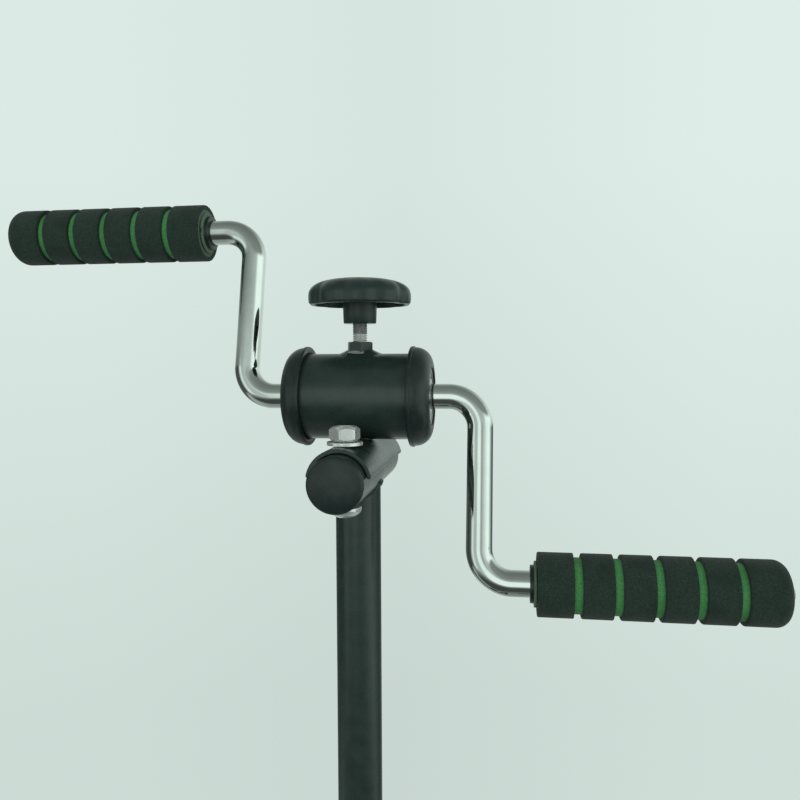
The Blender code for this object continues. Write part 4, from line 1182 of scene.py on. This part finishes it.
def knob_rings(radius, length, boss_length):
    """Rings (radius, height over the boss's end, share of the lobes' depth), from dome to blind hole."""
    height = length - boss_length
    widest = boss_length + 3.5 * MM
    boss = 9.25 * MM
    rim = radius - 3.2 * MM
    power = 2 / 2.8
    rings = [(0, length, 0)]
    for i in range(1, 25):
        angle = math.radians(90 * (1 - (i / 24) ** 0.8))
        spread = math.cos(angle) ** power if i < 24 else 1
        rise = math.sin(angle) ** power if i < 24 else 0
        rings.append((radius * spread, widest + (length - widest) * rise, spread ** 4))
    rings += [(radius - 0.05 * MM, widest - 1.0 * MM, 1), (radius - 0.15 * MM, widest - 1.8 * MM, 1)]
    rings += [(radius - 1.7 * MM + reach, boss_length + rise, 1)
              for reach, rise in arc_points((0, 1.6 * MM), 1.55 * MM, 0, -90, 5)]
    cup = boss_length + height * 0.5
    rings += [(rim + 0.4 * MM, boss_length + 0.05 * MM, 1), (rim, boss_length + 0.5 * MM, 1),
              (rim - 0.5 * MM, cup - 1.5 * MM, 0.8), (rim - 2.0 * MM, cup, 0.6),
              (boss + 1.5 * MM, cup, 0), (boss + 0.3 * MM, cup - 1.2 * MM, 0), (boss, boss_length * 0.7, 0),
              (boss - 0.25 * MM, 0.5 * MM, 0), (boss - 0.6 * MM, 0, 0), (4.2 * MM, 0, 0),
              (4.1 * MM, 0.3 * MM, 0), (4.1 * MM, 9 * MM, 0), (0, 9 * MM, 0)]
    return rings


def knob(node, axis):
    """A lobed hand knob: a broad flat dome, narrow hollows, a hollow back and a round boss on the stud."""
    sizes = settings().sizes
    low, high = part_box(node)
    middle = (low + high) / 2
    size = high - low
    index = max(range(3), key=lambda i: abs(axis[i]))
    radius = max(size[i] for i in range(3) if i != index) / 2
    base = Vector(middle)
    base[index] = low[index] if axis[index] > 0 else high[index]
    sides = sizes.knob_lobes * 24
    bm = bmesh.new()
    loops = []
    for ring_radius, ring_height, lobes in knob_rings(radius, size[index], sizes.knob_boss):
        if ring_radius < TINY:
            loops.append([bm.verts.new((0, 0, ring_height))])
            continue
        loop = []
        for i in range(sides):
            angle = 2 * math.pi * i / sides
            hollow = (1 + math.cos(sizes.knob_lobes * angle)) / 2
            reach = ring_radius - sizes.lobe_depth * lobes * hollow ** 2.2
            turn = angle + sizes.knob_turn
            loop.append(bm.verts.new((reach * math.cos(turn), reach * math.sin(turn), ring_height)))
        loops.append(loop)
    for upper, lower in zip(loops, loops[1:]):
        bridge(bm, upper, lower)
    obj = mesh_object(dressed_name(node), bm, 40)
    obj.matrix_world = along(axis, base)
    dress(obj, node)


def knobs():
    """The three hand knobs, and the height clamp's nut and stud."""
    for prefix in ("arm", "leg"):
        knob(prefix + "_tension_knob", Z_AXIS)
    out = -Y_AXIS
    knob("clamp_knob", out)
    stud("clamp_stud", out)
    post_middle, post_half = extent("lower_post")
    clamp = JOINT_AT["clamp_screw_turn"]
    origin = Vector((post_middle.x, post_middle.y, clamp.z))
    weld_nut("clamp_weld_nut", out, origin, post_half.x, settings().sizes.clamp_nut_reach)


# Cranks

def crank_points(start, corner_in, corner_out, end, bend, steps=20):
    """A route from start to end round two corners, each bent to a radius."""
    route = [start]
    stops = [start, corner_in, corner_out, end]
    for before, corner, after in zip(stops, stops[1:], stops[2:]):
        back = (before - corner).normalized()
        on = (after - corner).normalized()
        centre = corner + (back + on) * bend
        for k in range(steps + 1):
            angle = math.pi / 2 * k / steps
            route.append(centre - on * bend * math.cos(angle) - back * bend * math.sin(angle))
    route.append(end)
    return route


def crank_bar(prefix, side_name, side, tip_joint):
    """One bent, plated bar, from inside the hub to the end of its grip or pedal."""
    sizes = settings().sizes
    node = prefix + "_" + side_name + "_crank_bar"
    axle = hub_axle(prefix)
    tip = JOINT_AT[tip_joint]
    reach = side_ends(node)[1]
    arm_x = sizes.arm_place
    start = axle + X_AXIS * side * 0.5 * MM
    corner_in = axle + X_AXIS * side * arm_x
    corner_out = Vector((side * arm_x, tip.y, tip.z))
    end = Vector((side * reach, tip.y, tip.z))
    points = crank_points(start, corner_in, corner_out, end, sizes.rod_bend)
    obj = swept(dressed_name(node), points, [sizes.rod_radius] * len(points), 64)
    soften(obj, 0.6 * MM, 2, 60)
    dress(obj, node)


def cranks():
    """All four crank bars."""
    for side_name, side in SIDES:
        crank_bar("arm", side_name, side, side_name + "_grip_spin")
        crank_bar("leg", side_name, side, side_name + "_pedal_spin")


# Grips

def grip_placing(side_name, side, start=0.0):
    """The placing of a grip's piece: local Z points outward, counted from this far from the middle."""
    spin = JOINT_AT[side_name + "_grip_spin"]
    return along(X_AXIS * side, Vector((side * start, spin.y, spin.z)))


def grip_foam(side_name, side):
    """Black bands over a green core, which shows in the grooves and at the inner end."""
    sizes = settings().sizes
    node = side_name + "_grip_foam"
    low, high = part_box(node)
    length = high.x - low.x
    radius = (high.z - low.z) / 2
    placing = grip_placing(side_name, side, side_ends(node)[0])
    bore = 9.3 * MM
    core_radius = radius - sizes.foam_skin
    core_end_and_painted_light = length - sizes.end_round
    core = [(bore, length / 2), (bore, 0.4 * MM, 0.4 * MM), (core_radius, 0.4 * MM, 0.2 * MM),
            (core_radius, core_end_and_painted_light), (bore, core_end_and_painted_light)]
    core_obj = turned(side_name + "_grip_core", core, placing)
    dress(core_obj, node, "green_core")
    repaint(core_obj, "core_end_and_painted_light", lambda face: face.center.z < 1 * MM)
    gaps = sizes.band_count - 1
    between = (length - sizes.first_band - sizes.last_band - gaps * sizes.groove_width) / (gaps - 1)
    bands = []
    start = 0.0
    for i in range(sizes.band_count):
        width = sizes.first_band if i == 0 else sizes.last_band if i == gaps else between
        end = start + width
        edge = 0.9 * MM
        if i == gaps:
            round_end = sizes.end_round
            profile = [(bore, start), (bore, end)]
            profile += arc_points((radius - round_end, end - round_end), round_end, 90, 0, 12)
            profile += [(radius, start, edge), (core_radius, start)]
        else:
            profile = [(radius, (start + end) / 2), (radius, start, edge), (core_radius - 0.3 * MM, start),
                       (core_radius - 0.3 * MM, end), (radius, end, edge)]
        bands.append(turned("band", profile, placing))
        start = end + sizes.groove_width
    foam = joined(side_name + "_grip_bands", bands)
    dress(foam, node)


def grip_sleeve(side_name, side):
    """The flanged plastic sleeve, its flange notched, that turns on the bar, whose flange's rim is given a pale
    green-grey as painted light.
    """
    node = side_name + "_grip_sleeve"
    start, end = side_ends(node)
    flange = extent(node)[1].z
    placing = grip_placing(side_name, side)
    bore = settings().sizes.rod_radius + settings().sizes.rod_gap
    ring = 9.7 * MM
    step_at = start + 2 * MM
    under = start + 3.2 * MM
    profile = [(bore, (start + end) / 2), (bore, end, 0.4 * MM), (9 * MM, end, 0.4 * MM),
               (9 * MM, under), (flange, under, 0.3 * MM), (flange, step_at, 0.4 * MM),
               (ring, step_at, 0.2 * MM), (ring, start, 0.4 * MM), (bore, start, 0.5 * MM)]
    obj = turned(dressed_name(node), profile, placing)
    notches = []
    for k in range(3):
        angle = 2 * math.pi * k / 3 + 0.5
        offset = Vector((math.cos(angle), math.sin(angle), 0)) * flange
        notches.append(slab("notch", hex_outline(3.4 * MM), 2.4 * MM,
                            placing @ Matrix.Translation(offset + Z_AXIS * step_at)))
    carve(obj, notches)
    dress(obj, node)
    # The flange's rim gets the pale foam-end colour: painted light on the black plastic
    repaint(obj, "core_end_and_painted_light", lambda face: face.center.xy.length > ring + 0.1 * MM)


def grip_retainer(side_name, side):
    """The washer and low cap nut on the bar's end."""
    node = side_name + "_grip_retainer"
    start, end = side_ends(node)
    washer = extent(node)[1].z
    head = 4.5 * MM
    face = start + 1.2 * MM
    profile = dome_points(0, head, end, end - 2 * MM, 8)[:-1]
    profile += [(head, face), (washer, face, 0.3 * MM), (washer, start, 0.3 * MM), (0, start)]
    dress(turned(dressed_name(node), profile, grip_placing(side_name, side)), node)


def grips():
    """Both hand grips."""
    for side_name, side in SIDES:
        grip_foam(side_name, side)
        grip_sleeve(side_name, side)
        grip_retainer(side_name, side)


# Pedals

def block(name, size, centre, corner, placing):
    """A block on local XY with rounded upright corners."""
    x = size[0] / 2
    y = size[1] / 2
    outline = []
    for cx, cy, start in ((x, y, 0), (-x, y, 90), (-x, -y, 180), (x, -y, 270)):
        sx = math.copysign(1, cx)
        sy = math.copysign(1, cy)
        outline += arc_points((cx - sx * corner, cy - sy * corner), corner, start, start + 90, 8)
    return slab(name, outline, size[2], placing @ Matrix.Translation(centre))


def pedal_extent(side_name, node):
    """Where a pedal's piece turns on its bar, its half sizes, and its top and bottom counted from there."""
    middle, half = extent(node)
    spin = JOINT_AT[side_name + "_pedal_spin"]
    axle = Vector((middle.x, spin.y, spin.z))
    return axle, half, middle.z + half.z - spin.z, middle.z - half.z - spin.z


def pedal(side_name):
    """A moulded pedal: a rimmed tray with cross ribs, treads on the rims and a barrel round the bar."""
    sizes = settings().sizes
    node = side_name + "_pedal"
    axle, half, top, bottom = pedal_extent(side_name, node)
    placing = Matrix.Translation(axle)
    width = half.x * 2
    length = half.y * 2
    body = block("body", (width, length, top - bottom), Vector((0, 0, (top + bottom) / 2)), 9 * MM, placing)
    soften(body, 1.6 * MM)
    settle(body)
    rim = sizes.pedal_rim
    barrel = sizes.pedal_barrel
    well_floor = 6 * MM
    well_height = 30 * MM
    cutters = []
    well_width = (width - 3 * rim) / 2
    well_length = (length - barrel - 2 * rim) / 2
    for x_side in (-1, 1):
        for y_side in (-1, 1):
            centre = Vector((x_side * (well_width + rim) / 2, y_side * (barrel + well_length) / 2,
                             well_floor + well_height / 2))
            cutters.append(block("well", (well_width, well_length, well_height), centre, 3 * MM, placing))
    bore = sizes.rod_radius + sizes.rod_gap
    cutters.append(cutting_rod(bore, width, -width, X_AXIS, axle, 64))
    carve(body, cutters)
    treads = [body]
    rows = 9
    for y_side in (-1, 1):
        for k in range(rows):
            x = (k - (rows - 1) / 2) * 9 * MM
            centre = Vector((x, y_side * (length / 2 - rim * 0.62), top - 0.2 * MM))
            treads.append(soften(block("tread", (3.2 * MM, 3.4 * MM, 0.8 * MM), centre, 0.8 * MM, placing),
                                 0.2 * MM, 1))
    for tread in treads[1:]:
        settle(tread)
    dress(joined(dressed_name(node), treads), node)


def pedal_strap(side_name):
    """The moulded strap over the foot: a half oval with rounded edges."""
    node = side_name + "_pedal_strap"
    axle, half, top, bottom = pedal_extent(side_name, node)
    reach = half.y
    thickness = settings().sizes.strap_thickness
    steps = 64
    outer = [(reach, bottom)]
    outer += [(reach * math.cos(math.pi * i / steps), top * math.sin(math.pi * i / steps))
              for i in range(steps + 1)]
    outer.append((-reach, bottom))
    inside = reach - thickness
    under = top - thickness
    inner = [(-inside, bottom)]
    inner += [(-inside * math.cos(math.pi * i / steps), under * math.sin(math.pi * i / steps))
              for i in range(steps + 1)]
    inner.append((inside, bottom))
    obj = soften(slab(dressed_name(node), outer + inner, half.x * 2, facing_out(axle)), 0.5 * MM, 2, 60)
    settle(obj)
    dress(obj, node)


def pedals():
    """Both pedals and their straps."""
    for side_name in ("left", "right"):
        pedal(side_name)
        pedal_strap(side_name)


def inner_pieces():
    """Finish the frame nodes that keep their own shape inside the hubs and the post."""
    shown = [node for node in sorted(frame["nodes"]) if not frame["nodes"][node].hide_render]
    for node in shown:
        obj = frame["nodes"][node]
        obj.data.materials.clear()
        obj.data.materials.append(finish_for(SLOT_OF[node]))


# Studio

FLOOR_RADIUS = 1.3
FLOOR_FADE_START = 0.45
FLOOR_FADE_END = 1.2
LAMP_AIM = (0, 0.05, 0.6)
LAMP_WHITE = (1.0, 1.0, 0.985)
AIR_WHITE = (0.97, 1.0, 0.985, 1)
ROOM_WHITE = (0.900, 1.045, 0.975, 1)
ROOM_STRENGTH = 1.15


def camera_axes(studio):
    """The camera's right, down and forward directions in the frame."""
    level_right = Vector((math.cos(studio.yaw), math.sin(studio.yaw), 0))
    level_ahead = Vector((-math.sin(studio.yaw), math.cos(studio.yaw), 0))
    ahead = level_ahead * math.cos(studio.pitch) - Z_AXIS * math.sin(studio.pitch)
    down = -(level_ahead * math.sin(studio.pitch) + Z_AXIS * math.cos(studio.pitch))
    right = level_right * math.cos(studio.roll) - down * math.sin(studio.roll)
    down = level_right * math.sin(studio.roll) + down * math.cos(studio.roll)
    return right, down, ahead


def add_camera(studio):
    """The camera that sees the arm hub's middle at its pixel in the photograph."""
    right, down, ahead = camera_axes(studio)
    half = studio.picture_pixels / 2
    per_pixel = studio.distance / studio.focal_pixels
    across = (studio.hub_pixel_x - half) * per_pixel
    below = (studio.hub_pixel_y - half) * per_pixel
    eye = hub_axle("arm") - right * across - down * below - ahead * studio.distance
    data = bpy.data.cameras.new("camera")
    data.sensor_width = 36
    data.lens = data.sensor_width * studio.focal_pixels / studio.picture_pixels
    data.clip_start = 0.01
    camera = bpy.data.objects.new("camera", data)
    bpy.context.scene.collection.objects.link(camera)
    turn = Matrix((right, -down, -ahead)).transposed().to_4x4()
    camera.matrix_world = Matrix.Translation(eye) @ turn
    bpy.context.scene.camera = camera


def ramp(nodes, links, value, stops):
    """A ramp of (position, brightness) stops, driven by a value."""
    node = nodes.new("ShaderNodeValToRGB")
    elements = node.color_ramp.elements
    while len(elements) > 1:
        elements.remove(elements[-1])
    for i, (position, brightness) in enumerate(stops):
        element = elements[0] if i == 0 else elements.new(position)
        element.position = position
        element.color = (brightness, brightness, brightness, 1)
    links.new(value, node.inputs["Fac"])
    return node.outputs["Color"]


def mixed(nodes, links, factor, a, b, blend="MIX"):
    """Two colours, mixed by a factor that is a number or a socket."""
    node = nodes.new("ShaderNodeMix")
    node.data_type = "RGBA"
    node.blend_type = blend
    for socket, value in (("Factor", factor), ("A", a), ("B", b)):
        if isinstance(value, bpy.types.NodeSocket):
            links.new(value, node.inputs[socket])
        else:
            node.inputs[socket].default_value = value
    return node.outputs["Result"]


def at(degrees):
    """Place on a ramp of a direction round the object: 0 is towards the camera, 90 to the right of it."""
    return degrees / 360 + 0.5


def up(degrees):
    """Place on a ramp of a height over the horizon."""
    return math.sin(math.radians(degrees)) / 2 + 0.5


def directions(nodes, links, yaw, tilt=0.0):
    """Sockets of a direction's place round the object and over the horizon, as at() and up() count them."""
    where = nodes.new("ShaderNodeTexCoord").outputs["Generated"]
    if tilt:
        lean = nodes.new("ShaderNodeVectorRotate")
        lean.rotation_type = "X_AXIS"
        lean.inputs["Angle"].default_value = tilt
        links.new(where, lean.inputs["Vector"])
        where = lean.outputs["Vector"]
    turn = nodes.new("ShaderNodeVectorRotate")
    turn.rotation_type = "Z_AXIS"
    turn.inputs["Angle"].default_value = math.pi / 2 - yaw
    links.new(where, turn.inputs["Vector"])
    parts = nodes.new("ShaderNodeSeparateXYZ")
    links.new(turn.outputs["Vector"], parts.inputs["Vector"])
    azimuth = nodes.new("ShaderNodeMath")
    azimuth.operation = "ARCTAN2"
    links.new(parts.outputs["Y"], azimuth.inputs[0])
    links.new(parts.outputs["X"], azimuth.inputs[1])
    turns = nodes.new("ShaderNodeMapRange")
    turns.inputs["From Min"].default_value = -math.pi
    turns.inputs["From Max"].default_value = math.pi
    links.new(azimuth.outputs[0], turns.inputs["Value"])
    height = nodes.new("ShaderNodeMapRange")
    height.inputs["From Min"].default_value = -1
    links.new(parts.outputs["Z"], height.inputs["Value"])
    return turns.outputs["Result"], height.outputs["Result"]


def room(nodes, links, yaw):
    """What polished pieces reflect: a window on the right, bright patches by the camera, a dark left side.

    Its heights are counted from a horizon that leans with the arm cranks, as those pieces show it. The ramps
    over, middle and under run round the room at three heights; ahead and behind run from the floor up.
    """
    arm = JOINT_AT["left_grip_spin"] - JOINT_AT["arm_crank_turn"]
    around, height = directions(nodes, links, yaw, math.atan2(arm.y, arm.z))
    over = ramp(nodes, links, around, [
        (at(-180), 0.70), (at(-140), 0.08), (at(-95), 0.10), (at(-60), 0.20), (at(-10), 0.32), (at(32), 0.45),
        (at(52), 0.95), (at(95), 0.95), (at(120), 0.62), (at(180), 0.70)])
    middle = ramp(nodes, links, around, [
        (at(-180), 0.70), (at(-115), 0.20), (at(-70), 0.25), (at(-20), 0.45), (at(30), 0.50), (at(50), 0.90),
        (at(90), 0.90), (at(115), 0.50), (at(180), 0.70)])
    under = ramp(nodes, links, around, [
        (at(-180), 0.80), (at(-150), 0.10), (at(-85), 0.05), (at(-62), 0.80), (at(-50), 0.45),
        (at(-32), 0.45), (at(-21), 0.85), (at(-4), 0.85), (at(9), 0.30), (at(25), 0.50), (at(60), 0.90),
        (at(78), 0.95), (at(105), 0.30), (at(120), 0.10), (at(142), 0.10), (at(180), 0.75)])
    low = ramp(nodes, links, height, [(up(8.5), 0), (up(12), 1)])
    high = ramp(nodes, links, height, [(up(13.5), 0), (up(17.5), 1)])
    horizon = mixed(nodes, links, high, mixed(nodes, links, low, under, middle), over)
    ahead = ramp(nodes, links, height, [
        (up(-90), 0.20), (up(-72), 0.05), (up(-42), 0.05), (up(-32), 0.20), (up(18), 0.25), (up(90), 0.15)])
    behind = ramp(nodes, links, height, [
        (up(-90), 0.20), (up(-30), 0.40), (up(-10), 0.60), (up(30), 0.60), (up(75), 0.20), (up(90), 0.15)])
    back = ramp(nodes, links, around, [(at(-105), 1), (at(-85), 0), (at(85), 0), (at(105), 1)])
    above = mixed(nodes, links, back, ahead, behind)
    near = ramp(nodes, links, height, [(up(-31), 0), (up(-24), 1), (up(21), 1), (up(28), 0)])
    reflected = mixed(nodes, links, near, above, horizon)
    return mixed(nodes, links, 1.0, reflected, ROOM_WHITE, "MULTIPLY")


def studio_air(studio):
    """The wall to the camera, a soft even light on the object, and a room for shiny pieces to reflect."""
    world = bpy.data.worlds.new("studio_air")
    bpy.context.scene.world = world
    world.use_nodes = True
    nodes = world.node_tree.nodes
    links = world.node_tree.links
    nodes.clear()
    path = nodes.new("ShaderNodeLightPath")
    around, height = directions(nodes, links, studio.yaw)
    # The wall grows a little darker towards the floor and lighter to the right
    sideways = ramp(nodes, links, around, [
        (at(-180), 0.92), (at(-158), 0.97), (at(-130), 0.975), (at(120), 1.0), (at(156), 1.0),
        (at(180), 0.92)])
    downward = ramp(nodes, links, height, [(up(-24), 0.86), (up(-6), 0.93), (up(14), 1.0)])
    shade = mixed(nodes, links, 1.0, sideways, downward, "MULTIPLY")
    wall = mixed(nodes, links, 1.0, (*studio.wall, 1), shade, "MULTIPLY")
    output = nodes.new("ShaderNodeOutputWorld")
    even = background(nodes, links, studio.air)
    shiny = background(nodes, links, ROOM_STRENGTH, room(nodes, links, studio.yaw))
    seen = background(nodes, links, 1.0, wall)
    reflected = nodes.new("ShaderNodeMath")
    reflected.operation = "MAXIMUM"
    links.new(path.outputs["Is Glossy Ray"], reflected.inputs[0])
    links.new(path.outputs["Is Transmission Ray"], reflected.inputs[1])
    first = nodes.new("ShaderNodeMixShader")
    links.new(reflected.outputs[0], first.inputs[0])
    links.new(even.outputs[0], first.inputs[1])
    links.new(shiny.outputs[0], first.inputs[2])
    second = nodes.new("ShaderNodeMixShader")
    links.new(path.outputs["Is Camera Ray"], second.inputs[0])
    links.new(first.outputs[0], second.inputs[1])
    links.new(seen.outputs[0], second.inputs[2])
    links.new(second.outputs[0], output.inputs["Surface"])


def background(nodes, links, strength, colour=None):
    """A background shader in nearly white light, or in a colour from a socket."""
    node = nodes.new("ShaderNodeBackground")
    node.inputs["Strength"].default_value = strength
    node.inputs["Color"].default_value = AIR_WHITE
    if colour:
        links.new(colour, node.inputs["Color"])
    return node


def add_floor(studio):
    """A pale round floor that fades out into the wall. In reflections the room stands for it."""
    bm = bmesh.new()
    bmesh.ops.create_circle(bm, cap_ends=True, segments=96, radius=FLOOR_RADIUS)
    floor = mesh_object("floor", bm)
    finish = Finish("pale_floor", studio.floor, 0.7)
    finish.tint(finish.noise(0.35, 3), lighter(studio.floor, 0.97), 0.3, 0.8)
    finish.bump(finish.noise(4 * MM, 3), 0.05 * MM)
    reach = finish.nodes.new("ShaderNodeVectorMath")
    reach.operation = "LENGTH"
    finish.links.new(finish.where, reach.inputs[0])
    fade = finish.nodes.new("ShaderNodeMapRange")
    fade.interpolation_type = "SMOOTHSTEP"
    fade.inputs["From Min"].default_value = FLOOR_FADE_START
    fade.inputs["From Max"].default_value = FLOOR_FADE_END
    finish.links.new(reach.outputs["Value"], fade.inputs["Value"])
    clear = finish.nodes.new("ShaderNodeBsdfTransparent")
    mix = finish.nodes.new("ShaderNodeMixShader")
    finish.links.new(fade.outputs["Result"], mix.inputs[0])
    finish.links.new(finish.shader.outputs[0], mix.inputs[1])
    finish.links.new(clear.outputs[0], mix.inputs[2])
    finish.links.new(mix.outputs[0], finish.nodes["Material Output"].inputs["Surface"])
    floor.data.materials.append(finish.material)
    floor.visible_glossy = False


def add_lamp(name, place, size, power):
    """A soft rectangular lamp that faces the object and doesn't show in polished pieces."""
    data = bpy.data.lights.new(name, "AREA")
    data.shape = "RECTANGLE"
    data.size = size[0]
    data.size_y = size[1]
    data.energy = power
    data.color = LAMP_WHITE
    lamp = bpy.data.objects.new(name, data)
    bpy.context.scene.collection.objects.link(lamp)
    lamp.location = place
    lamp.rotation_euler = (Vector(LAMP_AIM) - Vector(place)).to_track_quat("-Z", "Y").to_euler()
    lamp.visible_camera = False
    lamp.visible_glossy = False


def build_stage():
    """Floor, air, lamps and camera."""
    studio = settings().studio
    scene = bpy.context.scene
    scene.view_settings.view_transform = "Standard"
    add_floor(studio)
    studio_air(studio)
    add_lamp("key_lamp", place=(1.3, -1.3, 1.6), size=(1.0, 1.4), power=studio.key)
    add_lamp("fill_lamp", place=(-0.5, -2.0, 1.2), size=(1.2, 0.9), power=studio.fill)
    add_camera(studio)


# Operators

class EXERCISER_OT_frame_tubes(Operator):
    """Dress the foot tubes, the base beam and the lower post."""

    bl_idname = "exerciser.frame_tubes"
    bl_label = "Frame Tubes"
    bl_options = {"REGISTER", "UNDO"}

    def execute(self, context):
        frame_tubes()
        return {"FINISHED"}


class EXERCISER_OT_sliding_post(Operator):
    """Dress the sliding post and the bushing that guides it."""

    bl_idname = "exerciser.sliding_post"
    bl_label = "Sliding Post"
    bl_options = {"REGISTER", "UNDO"}

    def execute(self, context):
        post_and_bushing()
        return {"FINISHED"}


class EXERCISER_OT_foot_caps(Operator):
    """Build the four foot caps."""

    bl_idname = "exerciser.foot_caps"
    bl_label = "Foot Caps"
    bl_options = {"REGISTER", "UNDO"}

    def execute(self, context):
        foot_caps()
        return {"FINISHED"}


class EXERCISER_OT_hub_units(Operator):
    """Build both hubs with their saddles, head tubes, fixings and welds."""

    bl_idname = "exerciser.hub_units"
    bl_label = "Hub Units"
    bl_options = {"REGISTER", "UNDO"}

    def execute(self, context):
        hub_units()
        return {"FINISHED"}


class EXERCISER_OT_knobs(Operator):
    """Build the three hand knobs and the height clamp's nut and stud."""

    bl_idname = "exerciser.knobs"
    bl_label = "Knobs"
    bl_options = {"REGISTER", "UNDO"}

    def execute(self, context):
        knobs()
        return {"FINISHED"}


class EXERCISER_OT_cranks(Operator):
    """Build the four plated crank bars."""

    bl_idname = "exerciser.cranks"
    bl_label = "Cranks"
    bl_options = {"REGISTER", "UNDO"}

    def execute(self, context):
        cranks()
        return {"FINISHED"}


class EXERCISER_OT_grips(Operator):
    """Build both foam hand grips with their sleeves and retainers."""

    bl_idname = "exerciser.grips"
    bl_label = "Grips"
    bl_options = {"REGISTER", "UNDO"}

    def execute(self, context):
        grips()
        return {"FINISHED"}


class EXERCISER_OT_pedals(Operator):
    """Build both pedals and their straps."""

    bl_idname = "exerciser.pedals"
    bl_label = "Pedals"
    bl_options = {"REGISTER", "UNDO"}

    def execute(self, context):
        pedals()
        return {"FINISHED"}


class EXERCISER_OT_inner_pieces(Operator):
    """Finish the pieces inside the hubs and the post."""

    bl_idname = "exerciser.inner_pieces"
    bl_label = "Inner Pieces"
    bl_options = {"REGISTER", "UNDO"}

    def execute(self, context):
        inner_pieces()
        return {"FINISHED"}


class EXERCISER_OT_stage(Operator):
    """Set up the floor, the light and the camera."""

    bl_idname = "exerciser.stage"
    bl_label = "Stage"
    bl_options = {"REGISTER", "UNDO"}

    def execute(self, context):
        build_stage()
        return {"FINISHED"}


OPERATORS = (
    EXERCISER_OT_frame_tubes,
    EXERCISER_OT_sliding_post,
    EXERCISER_OT_foot_caps,
    EXERCISER_OT_hub_units,
    EXERCISER_OT_knobs,
    EXERCISER_OT_cranks,
    EXERCISER_OT_grips,
    EXERCISER_OT_pedals,
    EXERCISER_OT_inner_pieces,
    EXERCISER_OT_stage,
)


class EXERCISER_PT_panel(Panel):
    """Lists the operators and their values in the sidebar."""

    bl_label = "Arm and Leg Exerciser"
    bl_space_type = "VIEW_3D"
    bl_region_type = "UI"
    bl_category = "Exerciser"

    def draw(self, context):
        layout = self.layout
        for operator in OPERATORS:
            layout.operator(operator.bl_idname)
        groups = context.scene.exerciser
        for group in (groups.sizes, groups.colours, groups.studio):
            box = layout.box()
            for name in group.__annotations__:
                box.prop(group, name)


CLASSES = (ExerciserSizes, ExerciserColours, ExerciserStudio, ExerciserSettings, *OPERATORS,
           EXERCISER_PT_panel)


def register():
    """Register the classes and give the scene its settings."""
    for cls in CLASSES:
        bpy.utils.register_class(cls)
    bpy.types.Scene.exerciser = PointerProperty(type=ExerciserSettings)


def unregister():
    """Take the settings and the classes away again."""
    del bpy.types.Scene.exerciser
    for cls in reversed(CLASSES):
        bpy.utils.unregister_class(cls)


def main():
    """Build every piece and the studio."""
    register()
    bpy.ops.exerciser.frame_tubes()
    bpy.ops.exerciser.sliding_post()
    bpy.ops.exerciser.foot_caps()
    bpy.ops.exerciser.hub_units()
    bpy.ops.exerciser.knobs()
    bpy.ops.exerciser.cranks()
    bpy.ops.exerciser.grips()
    bpy.ops.exerciser.pedals()
    bpy.ops.exerciser.inner_pieces()
    bpy.ops.exerciser.stage()
    bpy.context.view_layer.update()


if __name__ == "__main__":
    main()
